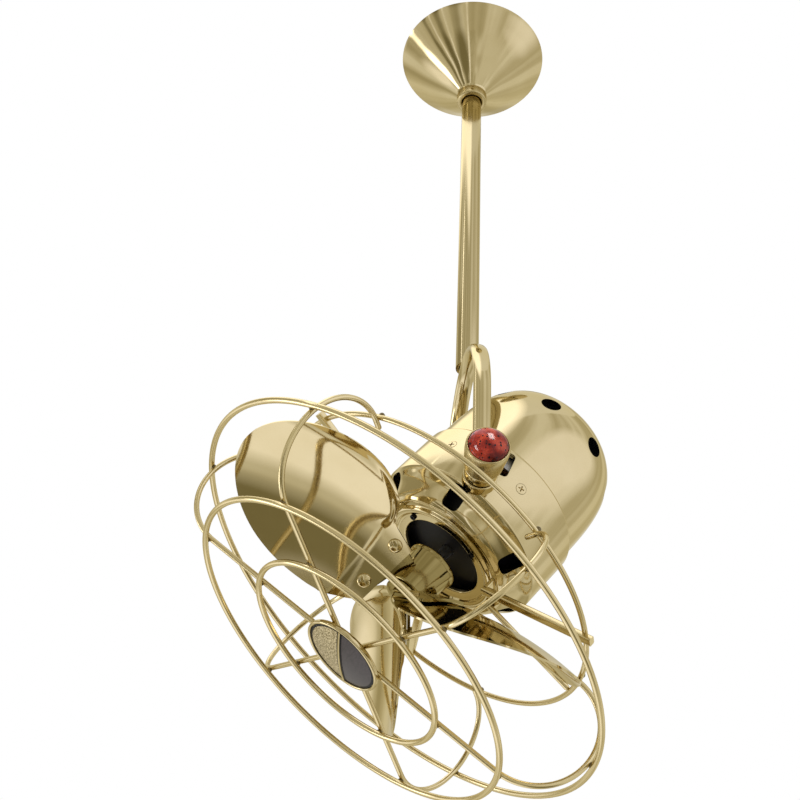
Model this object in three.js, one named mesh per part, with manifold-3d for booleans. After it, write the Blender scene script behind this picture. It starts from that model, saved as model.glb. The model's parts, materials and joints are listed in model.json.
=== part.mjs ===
// Directional ceiling fan: a caged three-blade head that tilts in a yoke on a downrod.
// Units are millimetres. The origin is the ceiling face of the mounting plate, +Z is up.
// The tilt axis runs along Y, the side towards the viewer is -Y, and the head leans towards -X.

import * as THREE from 'three';
import { mergeVertices } from 'three/addons/utils/BufferGeometryUtils.js';
import Module from 'manifold-3d';

const wasm = await Module();
wasm.setup();

// Fits shared by many pieces
const fitGap = 0.3;
const weldGap = 0.12;
const stoneClearance = 0.25;
const shaftClearance = 1;
const overrun = 2;
const quarterTurnAngle = 90;

// Ceiling plate
const plateRadius = 50;
const plateThickness = 4;
const plateBossRadius = 17;
const plateBossHeight = 24;
const plateBossBoreDepth = 18;
const plateSlotReach = 36;
const plateSlotLength = 18;
const plateSlotWidth = 6;
const wireHoleRadius = 7;
const wireHoleReach = 30;

// Downrod
const rodRadius = 10.65;
const rodBoreRadius = 8;
const rodExitRadius = 5;
const rodExitDrop = 40;

// Canopy and its collar
const canopyRadius = 80;
const canopyHeight = 61;
const canopyWall = 1.4;
const canopyLip = 7;
const canopyCeilingGap = 0.5;
const canopyNeckRadius = 15.5;
const canopyCurveShares = [
  [1, 0], [0.985, 0.09], [0.9, 0.22], [0.74, 0.4], [0.53, 0.61], [0.33, 0.82], [0.194, 1],
];
const collarRadius = 16.5;
const collarHeight = 12;
const collarEdge = 1.6;
const collarScrewRadius = 2.5;
const collarScrewProud = 1.5;
const collarScrewClockAngle = -95;

// Tilt axis and yoke
const pivotDrop = 645;
const yokeArmWidth = 15;
const yokeArmThickness = 9;
const yokeArmEdge = 3.4;
const yokeArchRise = 86;
const yokeArchSteps = 16;
const yokeEyeRadius = 13.5;
const pivotHoleRadius = 4.3;

// Tilt knobs
const studRadius = 4;
const studTail = 9;
const washerRadius = 11;
const washerRoom = 1.5;
const knobNeckRadius = 12;
const knobNeckLength = 3;
const knobRadius = 17.8;
const knobBaseRadius = 14.6;
const knobDepth = 26;
const knobWall = 1.5;
const knobSeatDepth = 5;
const stoneRise = 8.5;

// Head: measured along the fan axis from the tilt axis, front positive
const headTiltAngle = 53;
const bandRadius = 78;
const bandWall = 2.4;
const bandBack = -41;
const bandFront = 9;
const bandShoulder = 3;
const bandHemAngle = 60;
const bossRadius = 14;
const bossProud = 7;
const bossFace = bandRadius + bossProud;
const yokeArmReach = bossFace + washerRoom + yokeArmThickness / 2;
const noseDrop = 18;
const noseRadius = bandRadius - noseDrop;
const noseFront = 33;
const noseWall = 2.4;
const noseCurveShares = [[0, 0], [0.1, 0.05], [0.38, 0.42], [0.85, 0.78], [1, 1]];
const noseSlotCount = 6;
const noseSlotWidth = 15.5;
const noseSlotInset = 8;
const noseSlotLength = 21;
const noseSlotPlace = 21.5;
const noseSlotLeanAngle = 45;
const noseSlotThrough = 9;
const sideSlotWidth = 9;
const sideSlotLength = 24;
const sideSlotBack = -28;
const sideSlotAside = -7;
const sideSlotLeanAngle = 16;
const bandScrewPlace = -20.4;
const bandScrewSpreadAngle = 27;
const screwHeadRadius = 4.6;
const screwShankRadius = 2;

// Rear dome
const domeRoom = 1.4;
const domeRadius = bandRadius - bandWall - domeRoom;
const domeBack = -148;
const domeSpring = -44;
const domeSkirt = -12;
const domeWall = 2.2;
const domeAlongPower = 3.76;
const domeAcrossPower = 2.55;
const domeSteps = 6;
const domeSpread = 0.6;
const domeInnerSteps = 3;
const ventCount = 8;
const shellClockAngle = 5.5;
const ventRadius = 8.7;
const ventPlace = -114;

// Front plate
const frontPlateBack = 29;
const frontPlateThickness = 3.5;
const frontPlateBorder = 10.8;
const frontPlateStep = 11.7;
const frontPlateLedge = 3;
const frontPlateEdge = 1.5;
const frontPlateRib = noseRadius - frontPlateBorder;
const frontPlateHole = frontPlateRib - frontPlateStep;
const frontPlateRibWidth = 4;
const frontPlateRibRise = 2.2;
const frontScrewInset = 4.1;
const frontScrewClockAngle = 6.5;
const frontScrewSpreadAngle = 46;
const frontScrewRadius = 2.6;
const frontScrewProud = 1.6;

// Motor
const shieldFace = 23;
const shieldFaceInset = 10;
const shieldThickness = 3.6;
const shieldHub = 19;
const shieldHubLength = 12;
const bearingOuter = 13;
const bearingLength = 8;
const shaftRadius = 5;
const shaftBack = -92;
const statorRoom = 1.9;
const statorDepth = 29.5;
const statorOuter = domeRadius - domeWall - statorRoom;
const statorInner = statorOuter - statorDepth;
const statorBack = -62;
const statorFront = -30;
const statorSlotCount = 12;
const statorTooth = 3;
const statorSlotWidth = 9;
const statorSlotDepth = 17;
const coilInnerInset = 5.4;
const coilOuterInset = 8.8;
const coilRise = 11;
const coilLobeShare = 0.25;
const coilSides = 5;
const rotorGap = 0.7;
const rotorRingRise = 3;
const rotorRingShare = 0.45;
const rearShieldBack = -84;
const rearShieldInset = 4.6;
const rearShieldRadius = domeRadius - rearShieldInset;
const capacitorRadius = 15;
const capacitorLength = 40;
const capacitorInset = 31.6;

// Hub, arms and blades
const hubBack = 43.5;
const hubBackRadius = 22.5;
const hubFront = 80;
const hubFrontRadius = 17.5;
const hubLip = 1.5;
const hubNose = 3;
const armThickness = 2.4;
const armStart = 15;
const armLead = 20;
const armTrail = 34;
const armEnd = 46;
const armTip = 5;
const armGap = 0.7;
const armTipShare = 0.86;
const clampRadius = 16;
const clampThickness = 4;
const hubNutRadius = 7;
const hubNutHeight = 9;
const hubNutFlange = 2;
const bladeCount = 3;
const bladeClockAngle = 57.4;
const bladePlane = 73;
const bladeRoot = 21;
const bladeTip = 179.3;
const bladeHalfChord = 60;
const bladeRootSlantShare = 0.18;
const bladePitchAngle = 0.675;
const bladeTwistAngle = 0.17;
const bladeWashoutAngle = 0.043;
const bladeBow = 9.8;
const bladeRake = 7.75;
const bladeHollow = 15.5;
const bladeHollowOffset = 5.2;
const bladeDish = 1.6;
const bladeThickness = 1.6;
const rivetReach = 31.5;
const rivetOffset = 5.6;
const rivetSpread = 18.8;
const rivetSlantShare = 0.255;
const rivetShank = 2.5;
const rivetHead = 6;
const rivetRise = 3;
const rivetBackShare = 0.8;

// Blade outline: place along the blade, then its leading and trailing edge as shares of the half chord
const bladeEdgeShares = [
  [0, 0.425, 0.55], [0.07, 0.41, 0.716], [0.164, 0.425, 0.888], [0.19, 0.5, 0.917],
  [0.253, 0.757, 0.978], [0.36, 0.955, 1.049], [0.474, 1.075, 1.083], [0.594, 1.097, 1.071],
  [0.708, 1.013, 1.006], [0.802, 0.855, 0.902], [0.878, 0.654, 0.771], [0.935, 0.438, 0.622],
  [0.973, 0.229, 0.463], [1, -0.06, 0.22],
];
const bladeColumnShares = [0, 0.08, 0.29, 0.5, 0.71, 0.92, 1];
const bladeFoldShare = 0.18;

// Cage wires
const ringWire = 2.5;
const backRingWire = 2.2;
const ribWire = 2.3;
const ribPlane = 150;
const smallRingRadius = 90.5;
const middleRingRadius = 150.3;
const wideRingRadius = 200;
const wideRingPlane = 97.3;
const backRingRadius = 150;
const backRingPlane = 42;
const backRingSegments = 36;
const ribCount = 6;
const ribStart = 22;
const ribBendStart = 146;
const ribTail = 8;
const ribBendSteps = 6;
const ribClockAngle = 30;
const supportFirstAngle = -69;
const supportSecondAngle = 57;
const supportThirdAngle = 180;
const supportWidth = 7.5;
const supportThickness = 5.6;
const supportPlane = 44;
const supportFootRoom = 0.2;
const supportFootLength = 3.3;
const supportOverhang = 7;
const supportBoreRadius = 2.1;
const supportBoreInset = 2.6;
const stayWire = 2.4;
const stayAngle = -101;

// Badge
const badgeRadius = 35.2;
const badgeRim = 2.6;
const badgeDepth = 6;
const badgeCrown = 3;

const DEG = Math.PI / 180;

// Geometry helpers

function signedVolume(geometry) {
  const position = geometry.attributes.position;
  const index = geometry.index;
  const a = new THREE.Vector3();
  const b = new THREE.Vector3();
  const c = new THREE.Vector3();
  let sum = 0;
  for (let i = 0; i < index.count; i += 3) {
    a.fromBufferAttribute(position, index.getX(i));
    b.fromBufferAttribute(position, index.getX(i + 1));
    c.fromBufferAttribute(position, index.getX(i + 2));
    sum += a.dot(b.cross(c)) / 6;
  }
  return sum;
}

function closed(geometry) {
  geometry.deleteAttribute('normal');
  geometry.deleteAttribute('uv');
  const merged = mergeVertices(geometry, 1e-4);
  const kept = [];
  const index = merged.index;
  for (let i = 0; i < index.count; i += 3) {
    const triangle = [index.getX(i), index.getX(i + 1), index.getX(i + 2)];
    if (new Set(triangle).size === 3) kept.push(...triangle);
  }
  merged.setIndex(kept);
  if (signedVolume(merged) < 0) {
    for (let i = 0; i < kept.length; i += 3) [kept[i], kept[i + 1]] = [kept[i + 1], kept[i]];
    merged.setIndex(kept);
  }
  return merged;
}

function solid(geometry) {
  const body = closed(geometry);
  const mesh = new wasm.Mesh({
    numProp: 3,
    vertProperties: new Float32Array(body.attributes.position.array),
    triVerts: new Uint32Array(body.index.array),
  });
  return new wasm.Manifold(mesh);
}

function geometryOf(body) {
  const mesh = body.getMesh();
  const geometry = new THREE.BufferGeometry();
  geometry.setAttribute('position', new THREE.BufferAttribute(mesh.vertProperties, 3));
  geometry.setIndex(new THREE.BufferAttribute(mesh.triVerts, 1));
  return geometry;
}

function cut(body, ...tools) {
  return tools.reduce((left, tool) => left.subtract(tool), body);
}

function join(...bodies) {
  return bodies.reduce((whole, piece) => whole.add(piece));
}

// A closed outline of [radius, height] points turned about Z
function revolve(outline, segments = 48) {
  const points = [...outline, outline[0]].map(([r, z]) => new THREE.Vector2(r, z));
  const geometry = new THREE.LatheGeometry(points, segments);
  geometry.rotateX(90 * DEG);
  return geometry;
}

// A cylinder along Z between two heights
function rod(radius, low, high, segments = 24) {
  const geometry = new THREE.CylinderGeometry(radius, radius, high - low, segments);
  geometry.rotateX(90 * DEG);
  geometry.translate(0, 0, (low + high) / 2);
  return geometry;
}

// A tube about Z with a bore
function sleeve(outer, inner, low, high, segments = 32) {
  return revolve([[inner, low], [outer, low], [outer, high], [inner, high]], segments);
}

function block(x0, x1, y0, y1, z0, z1) {
  const geometry = new THREE.BoxGeometry(x1 - x0, y1 - y0, z1 - z0);
  geometry.translate((x0 + x1) / 2, (y0 + y1) / 2, (z0 + z1) / 2);
  return geometry;
}

// Turns a shape that was drawn along +Z so that it points along -Y or +Y
function alongY(geometry, side) {
  geometry.rotateX(side < 0 ? 90 * DEG : -90 * DEG);
  return geometry;
}

// A hole or peg that was drawn along +Z, turned to point outwards at an angle about Z
function outwards(geometry, angle, height) {
  geometry.rotateY(90 * DEG);
  geometry.rotateZ(angle);
  geometry.translate(0, 0, height);
  return geometry;
}

function arc(cx, cy, radius, from, to, steps) {
  const points = [];
  for (let i = 0; i <= steps; i += 1) {
    const angle = (from + ((to - from) * i) / steps) * DEG;
    points.push([cx + radius * Math.cos(angle), cy + radius * Math.sin(angle)]);
  }
  return points;
}

function roundShape(radius, sides) {
  const shape = new THREE.Shape();
  for (let i = 0; i < sides; i += 1) {
    const angle = (i / sides) * 360 * DEG;
    const x = radius * Math.cos(angle);
    const y = radius * Math.sin(angle);
    if (i === 0) shape.moveTo(x, y);
    else shape.lineTo(x, y);
  }
  shape.closePath();
  return shape;
}

function softRectangle(width, height, edge, steps = 2) {
  const shape = new THREE.Shape();
  const corners = [[1, 1], [-1, 1], [-1, -1], [1, -1]];
  const points = corners.flatMap(([sx, sy], i) => {
    const start = i * quarterTurnAngle;
    return arc(sx * (width / 2 - edge), sy * (height / 2 - edge), edge, start, start + quarterTurnAngle, steps);
  });
  points.forEach(([x, y], i) => (i === 0 ? shape.moveTo(x, y) : shape.lineTo(x, y)));
  shape.closePath();
  return shape;
}

// A line whose steps are evenly spaced in its share, so that straight runs need only one
class SteppedLine extends THREE.Curve {
  getUtoTmapping(share) {
    return share;
  }
}

function sweep(shape, curve, steps) {
  return new THREE.ExtrudeGeometry(shape, { steps, extrudePath: curve, bevelEnabled: false, curveSegments: 2 });
}

// A closed slab between an upper and a lower grid of points, both indexed [row][column]
function slab(upper, lower) {
  const rows = upper.length;
  const columns = upper[0].length;
  const points = [...upper.flat(), ...lower.flat()];
  const at = (side, row, column) => side * rows * columns + row * columns + column;
  const index = [];
  const face = (a, b, c, d) => index.push(a, b, c, a, c, d);
  for (let r = 0; r < rows - 1; r += 1) {
    for (let c = 0; c < columns - 1; c += 1) {
      face(at(0, r, c), at(0, r + 1, c), at(0, r + 1, c + 1), at(0, r, c + 1));
      face(at(1, r, c), at(1, r, c + 1), at(1, r + 1, c + 1), at(1, r + 1, c));
    }
  }
  for (let r = 0; r < rows - 1; r += 1) {
    face(at(0, r, 0), at(1, r, 0), at(1, r + 1, 0), at(0, r + 1, 0));
    const last = columns - 1;
    face(at(0, r, last), at(0, r + 1, last), at(1, r + 1, last), at(1, r, last));
  }
  for (let c = 0; c < columns - 1; c += 1) {
    face(at(0, 0, c), at(0, 0, c + 1), at(1, 0, c + 1), at(1, 0, c));
    face(at(0, rows - 1, c), at(1, rows - 1, c), at(1, rows - 1, c + 1), at(0, rows - 1, c + 1));
  }
  const geometry = new THREE.BufferGeometry();
  geometry.setAttribute('position', new THREE.Float32BufferAttribute(points.flat(), 3));
  geometry.setIndex(index);
  return geometry;
}

// A closed sheet over a disc of points: one centre, then rings out to the rim
function discSheet(upper, lower) {
  const rings = upper.length - 1;
  const around = upper[1].length;
  const points = [upper[0][0], ...upper.slice(1).flat(), lower[0][0], ...lower.slice(1).flat()];
  const half = 1 + rings * around;
  const at = (side, ring, i) => side * half + (ring === 0 ? 0 : 1 + (ring - 1) * around + (i % around));
  const index = [];
  for (let i = 0; i < around; i += 1) {
    index.push(at(0, 0, 0), at(0, 1, i), at(0, 1, i + 1));
    index.push(at(1, 0, 0), at(1, 1, i + 1), at(1, 1, i));
    for (let r = 1; r < rings; r += 1) {
      index.push(at(0, r, i), at(0, r + 1, i), at(0, r + 1, i + 1));
      index.push(at(0, r, i), at(0, r + 1, i + 1), at(0, r, i + 1));
      index.push(at(1, r, i), at(1, r + 1, i + 1), at(1, r + 1, i));
      index.push(at(1, r, i), at(1, r, i + 1), at(1, r + 1, i + 1));
    }
    index.push(at(0, rings, i), at(1, rings, i), at(1, rings, i + 1));
    index.push(at(0, rings, i), at(1, rings, i + 1), at(0, rings, i + 1));
  }
  const geometry = new THREE.BufferGeometry();
  geometry.setAttribute('position', new THREE.Float32BufferAttribute(points.flat(), 3));
  geometry.setIndex(index);
  return geometry;
}

// Materials

const finishes = {
  brass: { color: 0xbeaf7d, roughness: 0.12, metalness: 1 },
  black: { color: 0x15151a, roughness: 0.6, metalness: 0.2 },
  steel: { color: 0x9a9a96, roughness: 0.35, metalness: 1 },
  copper: { color: 0xa8622f, roughness: 0.45, metalness: 0.9 },
  stone: { color: 0xa3262c, roughness: 0.12, metalness: 0 },
  enamel: { color: 0x4d474d, roughness: 0.35, metalness: 0.1 },
  fibre: { color: 0x2b2b2b, roughness: 0.8, metalness: 0 },
};

function piece(name, geometry, finish) {
  const material = new THREE.MeshStandardMaterial(finishes[finish]);
  material.name = finish;
  const mesh = new THREE.Mesh(closed(geometry), material);
  mesh.name = name;
  return mesh;
}

// Angles about the fan axis are counted from the near tilt knob
function fromKnob(degrees) {
  return (degrees - 90) * DEG;
}

// Mounting pieces

function ceilingPlate() {
  const disc = solid(rod(plateRadius, -plateThickness, 0, 28));
  const boss = solid(rod(plateBossRadius, -plateBossHeight, -plateThickness / 2, 18));
  const boreTop = plateBossBoreDepth - plateBossHeight;
  const tools = [solid(rod(rodRadius + fitGap, -plateBossHeight - overrun, boreTop, 18))];
  for (const side of [-1, 1]) {
    const long = plateSlotLength / 2;
    const wide = plateSlotWidth / 2;
    const slot = block(-long, long, -wide, wide, -plateThickness - overrun, overrun);
    slot.translate(side * plateSlotReach, 0, 0);
    tools.push(solid(slot));
  }
  const wire = rod(wireHoleRadius, -plateThickness - overrun, overrun, 14);
  wire.translate(0, wireHoleReach, 0);
  tools.push(solid(wire));
  return geometryOf(cut(join(disc, boss), ...tools));
}

function plateScrew(side) {
  const radius = plateSlotWidth / 2 - fitGap;
  const seat = -plateThickness - fitGap;
  const shank = solid(rod(radius, seat - overrun / 2, -canopyCeilingGap, 12));
  const head = solid(rod(screwHeadRadius, seat - 3 * canopyWall, seat, 12));
  return geometryOf(join(shank, head).translate([side * plateSlotReach, 0, 0]));
}

const rodTop = plateBossBoreDepth - plateBossHeight - fitGap;
const yokeCrown = yokeArchRise + yokeArmReach + yokeArmThickness / 2;
const rodFoot = yokeCrown - pivotDrop + weldGap;

function downrod() {
  const tube = solid(sleeve(rodRadius, rodBoreRadius, rodFoot - overrun, rodTop, 24));
  const crown = rod(yokeArmReach + yokeArmThickness / 2 + weldGap, -yokeArmWidth, yokeArmWidth, 96);
  crown.rotateY(90 * DEG);
  crown.translate(0, 0, yokeArchRise - pivotDrop);
  const exit = outwards(rod(rodExitRadius, 0, rodRadius + overrun, 10), 0, -rodExitDrop);
  return geometryOf(cut(tube, solid(crown), solid(exit)));
}

function canopy() {
  const drop = (share) => -canopyCeilingGap - share * canopyHeight;
  const outer = canopyCurveShares.map(([r, z]) => [r * canopyRadius, drop(z)]);
  const rim = [[canopyRadius - canopyLip, drop(0)]];
  const lip = [[canopyRadius - canopyLip, drop(0) - canopyWall]];
  const inner = canopyCurveShares.slice(1, -1).map(([r, z]) => [r * canopyRadius - canopyWall, drop(z)]);
  const neck = [
    [canopyNeckRadius, drop(1) - canopyWall],
    [rodRadius + 2 * fitGap, drop(1) - canopyWall],
    [rodRadius + 2 * fitGap, drop(1)],
    [canopyNeckRadius - canopyWall, drop(1)],
  ];
  return revolve([...rim, ...outer, ...neck, ...inner.reverse(), ...lip], 26);
}

const collarTop = -canopyCeilingGap - canopyHeight - canopyWall - fitGap;

function collarScrewHole(radius, from, to) {
  return outwards(rod(radius, from, to, 10), collarScrewClockAngle * DEG, collarTop - collarHeight / 2);
}

function canopyCollar() {
  const low = collarTop - collarHeight;
  const outline = [
    [rodRadius + fitGap, low],
    ...arc(collarRadius - collarEdge, low + collarEdge, collarEdge, -90, 0, 1),
    ...arc(collarRadius - collarEdge, collarTop - collarEdge, collarEdge, 0, 90, 1),
    [rodRadius + fitGap, collarTop],
  ];
  const hole = collarScrewHole(collarScrewRadius + fitGap / 2, 0, collarRadius + overrun);
  return geometryOf(cut(solid(revolve(outline, 20)), solid(hole)));
}

function collarScrew() {
  const body = solid(collarScrewHole(collarScrewRadius, rodRadius + fitGap, collarRadius + collarScrewProud));
  const socket = solid(collarScrewHole(collarScrewRadius / 2, collarRadius, collarRadius + 2 * overrun));
  return geometryOf(cut(body, socket));
}

// Yoke: one bent bar with an eye at each end

class YokeLine extends SteppedLine {
  getPoint(share) {
    const step = share * (yokeArchSteps + 2);
    if (step <= 1) return new THREE.Vector3(0, -yokeArmReach, step * yokeArchRise);
    const left = yokeArchSteps + 2 - step;
    if (left <= 1) return new THREE.Vector3(0, yokeArmReach, left * yokeArchRise);
    const angle = Math.PI * (1 - (step - 1) / yokeArchSteps);
    const rise = yokeArchRise + yokeArmReach * Math.sin(angle);
    return new THREE.Vector3(0, yokeArmReach * Math.cos(angle), rise);
  }
}

function yoke() {
  const shape = softRectangle(yokeArmThickness, yokeArmWidth, yokeArmEdge, 2);
  let body = solid(sweep(shape, new YokeLine(), yokeArchSteps + 2));
  for (const side of [-1, 1]) {
    const low = yokeArmReach - yokeArmThickness / 2;
    const high = yokeArmReach + yokeArmThickness / 2;
    body = body.add(solid(alongY(rod(yokeEyeRadius, low, high, 20), side)));
    body = body.subtract(solid(alongY(rod(pivotHoleRadius, low - overrun, high + overrun, 12), side)));
  }
  return geometryOf(body);
}

function pivotWasher(side) {
  const low = bossFace + weldGap;
  const high = yokeArmReach - yokeArmThickness / 2 - weldGap;
  return alongY(sleeve(washerRadius, pivotHoleRadius, low, high, 12), side);
}

// Tilt knob: threaded stud, cupped brass grip and a domed stone

const knobBase = yokeArmReach + yokeArmThickness / 2 + fitGap;
const knobRim = knobBase + knobNeckLength + knobDepth;

function knobGrip(side) {
  const cupFloor = knobRim - knobSeatDepth;
  const outline = [
    [0, bossFace - studTail],
    [studRadius, bossFace - studTail],
    [studRadius, knobBase],
    [knobNeckRadius, knobBase],
    [knobNeckRadius, knobBase + knobNeckLength],
    [knobBaseRadius, knobBase + knobNeckLength],
    [knobRadius - knobWall / 2, knobBase + knobNeckLength + knobDepth / 3],
    [knobRadius, knobRim - 2 * knobWall],
    [knobRadius, knobRim - knobWall / 2],
    [knobRadius - knobWall / 3, knobRim],
    [knobRadius - knobWall, knobRim],
    [knobRadius - knobWall, cupFloor],
    [0, cupFloor],
  ];
  return alongY(revolve(outline, 16), side);
}

function knobStone(side) {
  const seat = knobRadius - knobWall - stoneClearance;
  const base = knobRim - knobSeatDepth + stoneClearance;
  const outline = [[0, base], [seat, base]];
  const steps = 3;
  for (let i = 0; i < steps; i += 1) {
    const angle = (90 * i * DEG) / steps;
    outline.push([seat * Math.cos(angle), knobRim - knobWall + (stoneRise + knobWall) * Math.sin(angle)]);
  }
  outline.push([0, knobRim + stoneRise]);
  return alongY(revolve(outline, 16), side);
}

// Head shells

function nosePoint([along, inward], offset) {
  const r = bandRadius + (noseRadius - bandRadius) * inward - offset;
  const z = bandFront + (noseFront - bandFront) * along;
  return [r, z];
}

function motorBand() {
  const lip = domeRadius + fitGap;
  const lipRadius = noseRadius - noseWall;
  const outline = [
    [lip, bandBack - bandShoulder / 2],
    [lip, bandBack],
    [bandRadius - bandWall, bandBack + bandShoulder],
    [bandRadius - bandWall, bandFront],
    nosePoint(noseCurveShares[2], noseWall),
    [lipRadius - frontPlateLedge, frontPlateBack - frontPlateLedge],
    [lipRadius - frontPlateLedge, frontPlateBack - weldGap],
    [lipRadius, frontPlateBack - weldGap],
    [lipRadius, noseFront],
    ...noseCurveShares.slice().reverse().map((share) => nosePoint(share, 0)),
    ...arc(bandRadius - bandShoulder, bandBack, bandShoulder, 0, -bandHemAngle, 2),
  ];
  let body = solid(revolve(outline, 28));
  for (const side of [-1, 1]) {
    body = body.add(solid(alongY(rod(bossRadius, domeRadius + fitGap, bossFace, 18), side)));
    body = body.subtract(solid(alongY(rod(studRadius + fitGap, 0, bossFace + overrun, 10), side)));
    body = body.subtract(sideSlot(side, 0));
  }
  for (let i = 0; i < noseSlotCount; i += 1) {
    body = body.subtract(noseSlot(fromKnob(shellClockAngle + (i * 360) / noseSlotCount)));
  }
  for (const angle of bandScrewAngles()) {
    body = body.subtract(solid(outwards(screwCone(fitGap / 2), angle, bandScrewPlace)));
  }
  return geometryOf(body);
}

function noseSlot(angle) {
  const shape = softRectangle(noseSlotLength, noseSlotWidth, noseSlotWidth / 3, 1);
  const tool = new THREE.ExtrudeGeometry(shape, { depth: 2 * noseSlotThrough, bevelEnabled: false });
  tool.translate(0, 0, -noseSlotThrough);
  tool.rotateY(noseSlotLeanAngle * DEG);
  tool.translate(bandRadius - noseSlotInset, 0, noseSlotPlace);
  tool.rotateZ(angle);
  return solid(tool);
}

// Slot beside each tilt knob, cut through the band and the skirt of the dome
function sideSlot(side, gap) {
  const shape = softRectangle(sideSlotWidth + 2 * gap, sideSlotLength + 2 * gap, sideSlotWidth / 3, 1);
  const tool = new THREE.ExtrudeGeometry(shape, { depth: bandRadius, bevelEnabled: false });
  tool.rotateZ(-side * sideSlotLeanAngle * DEG);
  tool.translate(sideSlotAside, -side * sideSlotBack, bandRadius / 2);
  return solid(alongY(tool, side));
}

function bandScrewAngles() {
  const spread = bandScrewSpreadAngle;
  const clocks = [spread, -spread, 180 + spread, 180 - spread];
  return clocks.map((clock) => fromKnob(clock + shellClockAngle));
}

// Countersunk screw drawn along +Z with its head flush with the band
function screwCone(gap) {
  const tip = domeRadius - 3 * domeWall;
  const outline = [
    [0, tip - gap],
    [screwShankRadius + gap, tip - gap],
    [screwShankRadius + gap, bandRadius - bandWall],
    [screwHeadRadius + gap, bandRadius - bandWall / 4 + gap / 2],
    [screwHeadRadius + gap, bandRadius + (gap > 0 ? overrun : fitGap / 3)],
    [0, bandRadius + (gap > 0 ? overrun : fitGap / 3)],
  ];
  return revolve(outline, 8);
}

function bandScrew(angle) {
  const cross = [screwHeadRadius / 2, screwHeadRadius / 9];
  const bits = [cross, cross.slice().reverse()].map(([x, y]) => (
    solid(outwards(block(-x, x, -y, y, bandRadius - bandWall / 2, bandRadius + overrun), angle, bandScrewPlace))
  ));
  return geometryOf(cut(solid(outwards(screwCone(0), angle, bandScrewPlace)), ...bits));
}

function domePoint(share, inset) {
  const across = (1 - share ** domeAlongPower) ** (1 / domeAcrossPower);
  return [(domeRadius - inset) * across, domeSpring + (domeBack + inset - domeSpring) * share];
}

function rearDome() {
  const curve = (steps) => Array.from({ length: steps + 1 }, (_, i) => (i / steps) ** domeSpread);
  const outer = curve(domeSteps).map((share) => domePoint(share, 0));
  const inner = curve(domeInnerSteps).map((share) => domePoint(share, domeWall)).reverse();
  const outline = [
    [domeRadius - domeWall, domeSkirt],
    [domeRadius, domeSkirt],
    ...outer,
    ...inner,
  ];
  let body = solid(revolve(outline, 28));
  for (let i = 0; i < ventCount; i += 1) {
    const hole = rod(ventRadius, domeRadius / 3, domeRadius + overrun, 8);
    body = body.subtract(solid(outwards(hole, fromKnob(shellClockAngle + (i * 360) / ventCount), ventPlace)));
  }
  for (const angle of bandScrewAngles()) {
    const tap = rod(screwShankRadius + fitGap, domeRadius / 2, domeRadius + overrun, 6);
    body = body.subtract(solid(outwards(tap, angle, bandScrewPlace)));
  }
  for (const side of [-1, 1]) {
    const bay = rod(bossRadius + 2 * fitGap, domeRadius / 2, bandRadius, 18);
    body = body.subtract(solid(alongY(bay, side)));
    body = body.subtract(sideSlot(side, fitGap));
  }
  return geometryOf(body);
}

const frontScrewReach = frontPlateHole + frontScrewInset;

function frontScrewAngles() {
  const clocks = [frontScrewSpreadAngle, -frontScrewSpreadAngle, 180];
  return clocks.map((clock) => fromKnob(clock + frontScrewClockAngle));
}

function frontPlate() {
  const low = frontPlateBack;
  const high = frontPlateBack + frontPlateThickness;
  const ribHigh = high + frontPlateRibRise;
  const outline = [
    [frontPlateHole, low],
    [noseRadius - noseWall - fitGap, low],
    [noseRadius - noseWall - fitGap, high],
    [frontPlateRib + frontPlateRibWidth, high],
    [frontPlateRib + frontPlateRibWidth / 2, ribHigh],
    [frontPlateRib - frontPlateRibWidth / 2, ribHigh],
    [frontPlateRib - frontPlateRibWidth, high],
    [frontPlateHole + frontPlateEdge, high],
    [frontPlateHole, high - frontPlateEdge],
  ];
  let body = solid(revolve(outline, 28));
  for (const angle of frontScrewAngles()) {
    const hole = rod(screwShankRadius + fitGap / 2, low - overrun, ribHigh + overrun, 8);
    hole.translate(frontScrewReach * Math.cos(angle), frontScrewReach * Math.sin(angle), 0);
    body = body.subtract(solid(hole));
  }
  return geometryOf(body);
}

function frontScrew(angle) {
  const top = frontPlateBack + frontPlateThickness;
  const shank = solid(rod(screwShankRadius, shieldFace + fitGap, top + weldGap * 2, 8));
  const head = solid(rod(frontScrewRadius, top + weldGap, top + frontScrewProud, 12));
  const depth = frontScrewProud / 2;
  const socket = solid(rod(frontScrewRadius / 2, top + depth, top + frontScrewProud + overrun, 6));
  const place = [frontScrewReach * Math.cos(angle), frontScrewReach * Math.sin(angle), 0];
  return geometryOf(cut(join(shank, head), socket).translate(place));
}

// Motor

// Front end shield: a drawn bell seated on the skirt of the dome, with the bearing hub behind its face
function frontShield() {
  const low = domeSkirt + fitGap;
  const rim = shieldThickness;
  const faceRadius = noseRadius - shieldFaceInset;
  const bore = shaftRadius + shaftClearance;
  const outline = [
    [shieldHub, shieldFace - shieldHubLength],
    [shieldHub, shieldFace - rim],
    [faceRadius - rim, shieldFace - rim],
    [domeRadius - 3 * rim, low],
    [domeRadius, low],
    [domeRadius, low + rim],
    [domeRadius - 2 * rim, low + rim],
    [faceRadius, shieldFace],
    [bore, shieldFace],
    [bore, shieldFace - rim / 2],
    [bearingOuter + weldGap, shieldFace - rim / 2],
    [bearingOuter + weldGap, shieldFace - shieldHubLength],
  ];
  return revolve(outline, 20);
}

function rearShield() {
  const outer = rearShieldRadius;
  const high = rearShieldBack + shieldThickness;
  const top = rearShieldBack + shieldHubLength;
  const outline = [
    [shaftRadius + shaftClearance, rearShieldBack],
    [outer, rearShieldBack],
    [outer, high],
    [shieldHub, high],
    [shieldHub, top],
    [bearingOuter + weldGap, top],
    [bearingOuter + weldGap, rearShieldBack + shieldThickness / 2],
    [shaftRadius + shaftClearance, rearShieldBack + shieldThickness / 2],
  ];
  return revolve(outline, 20);
}

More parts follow.
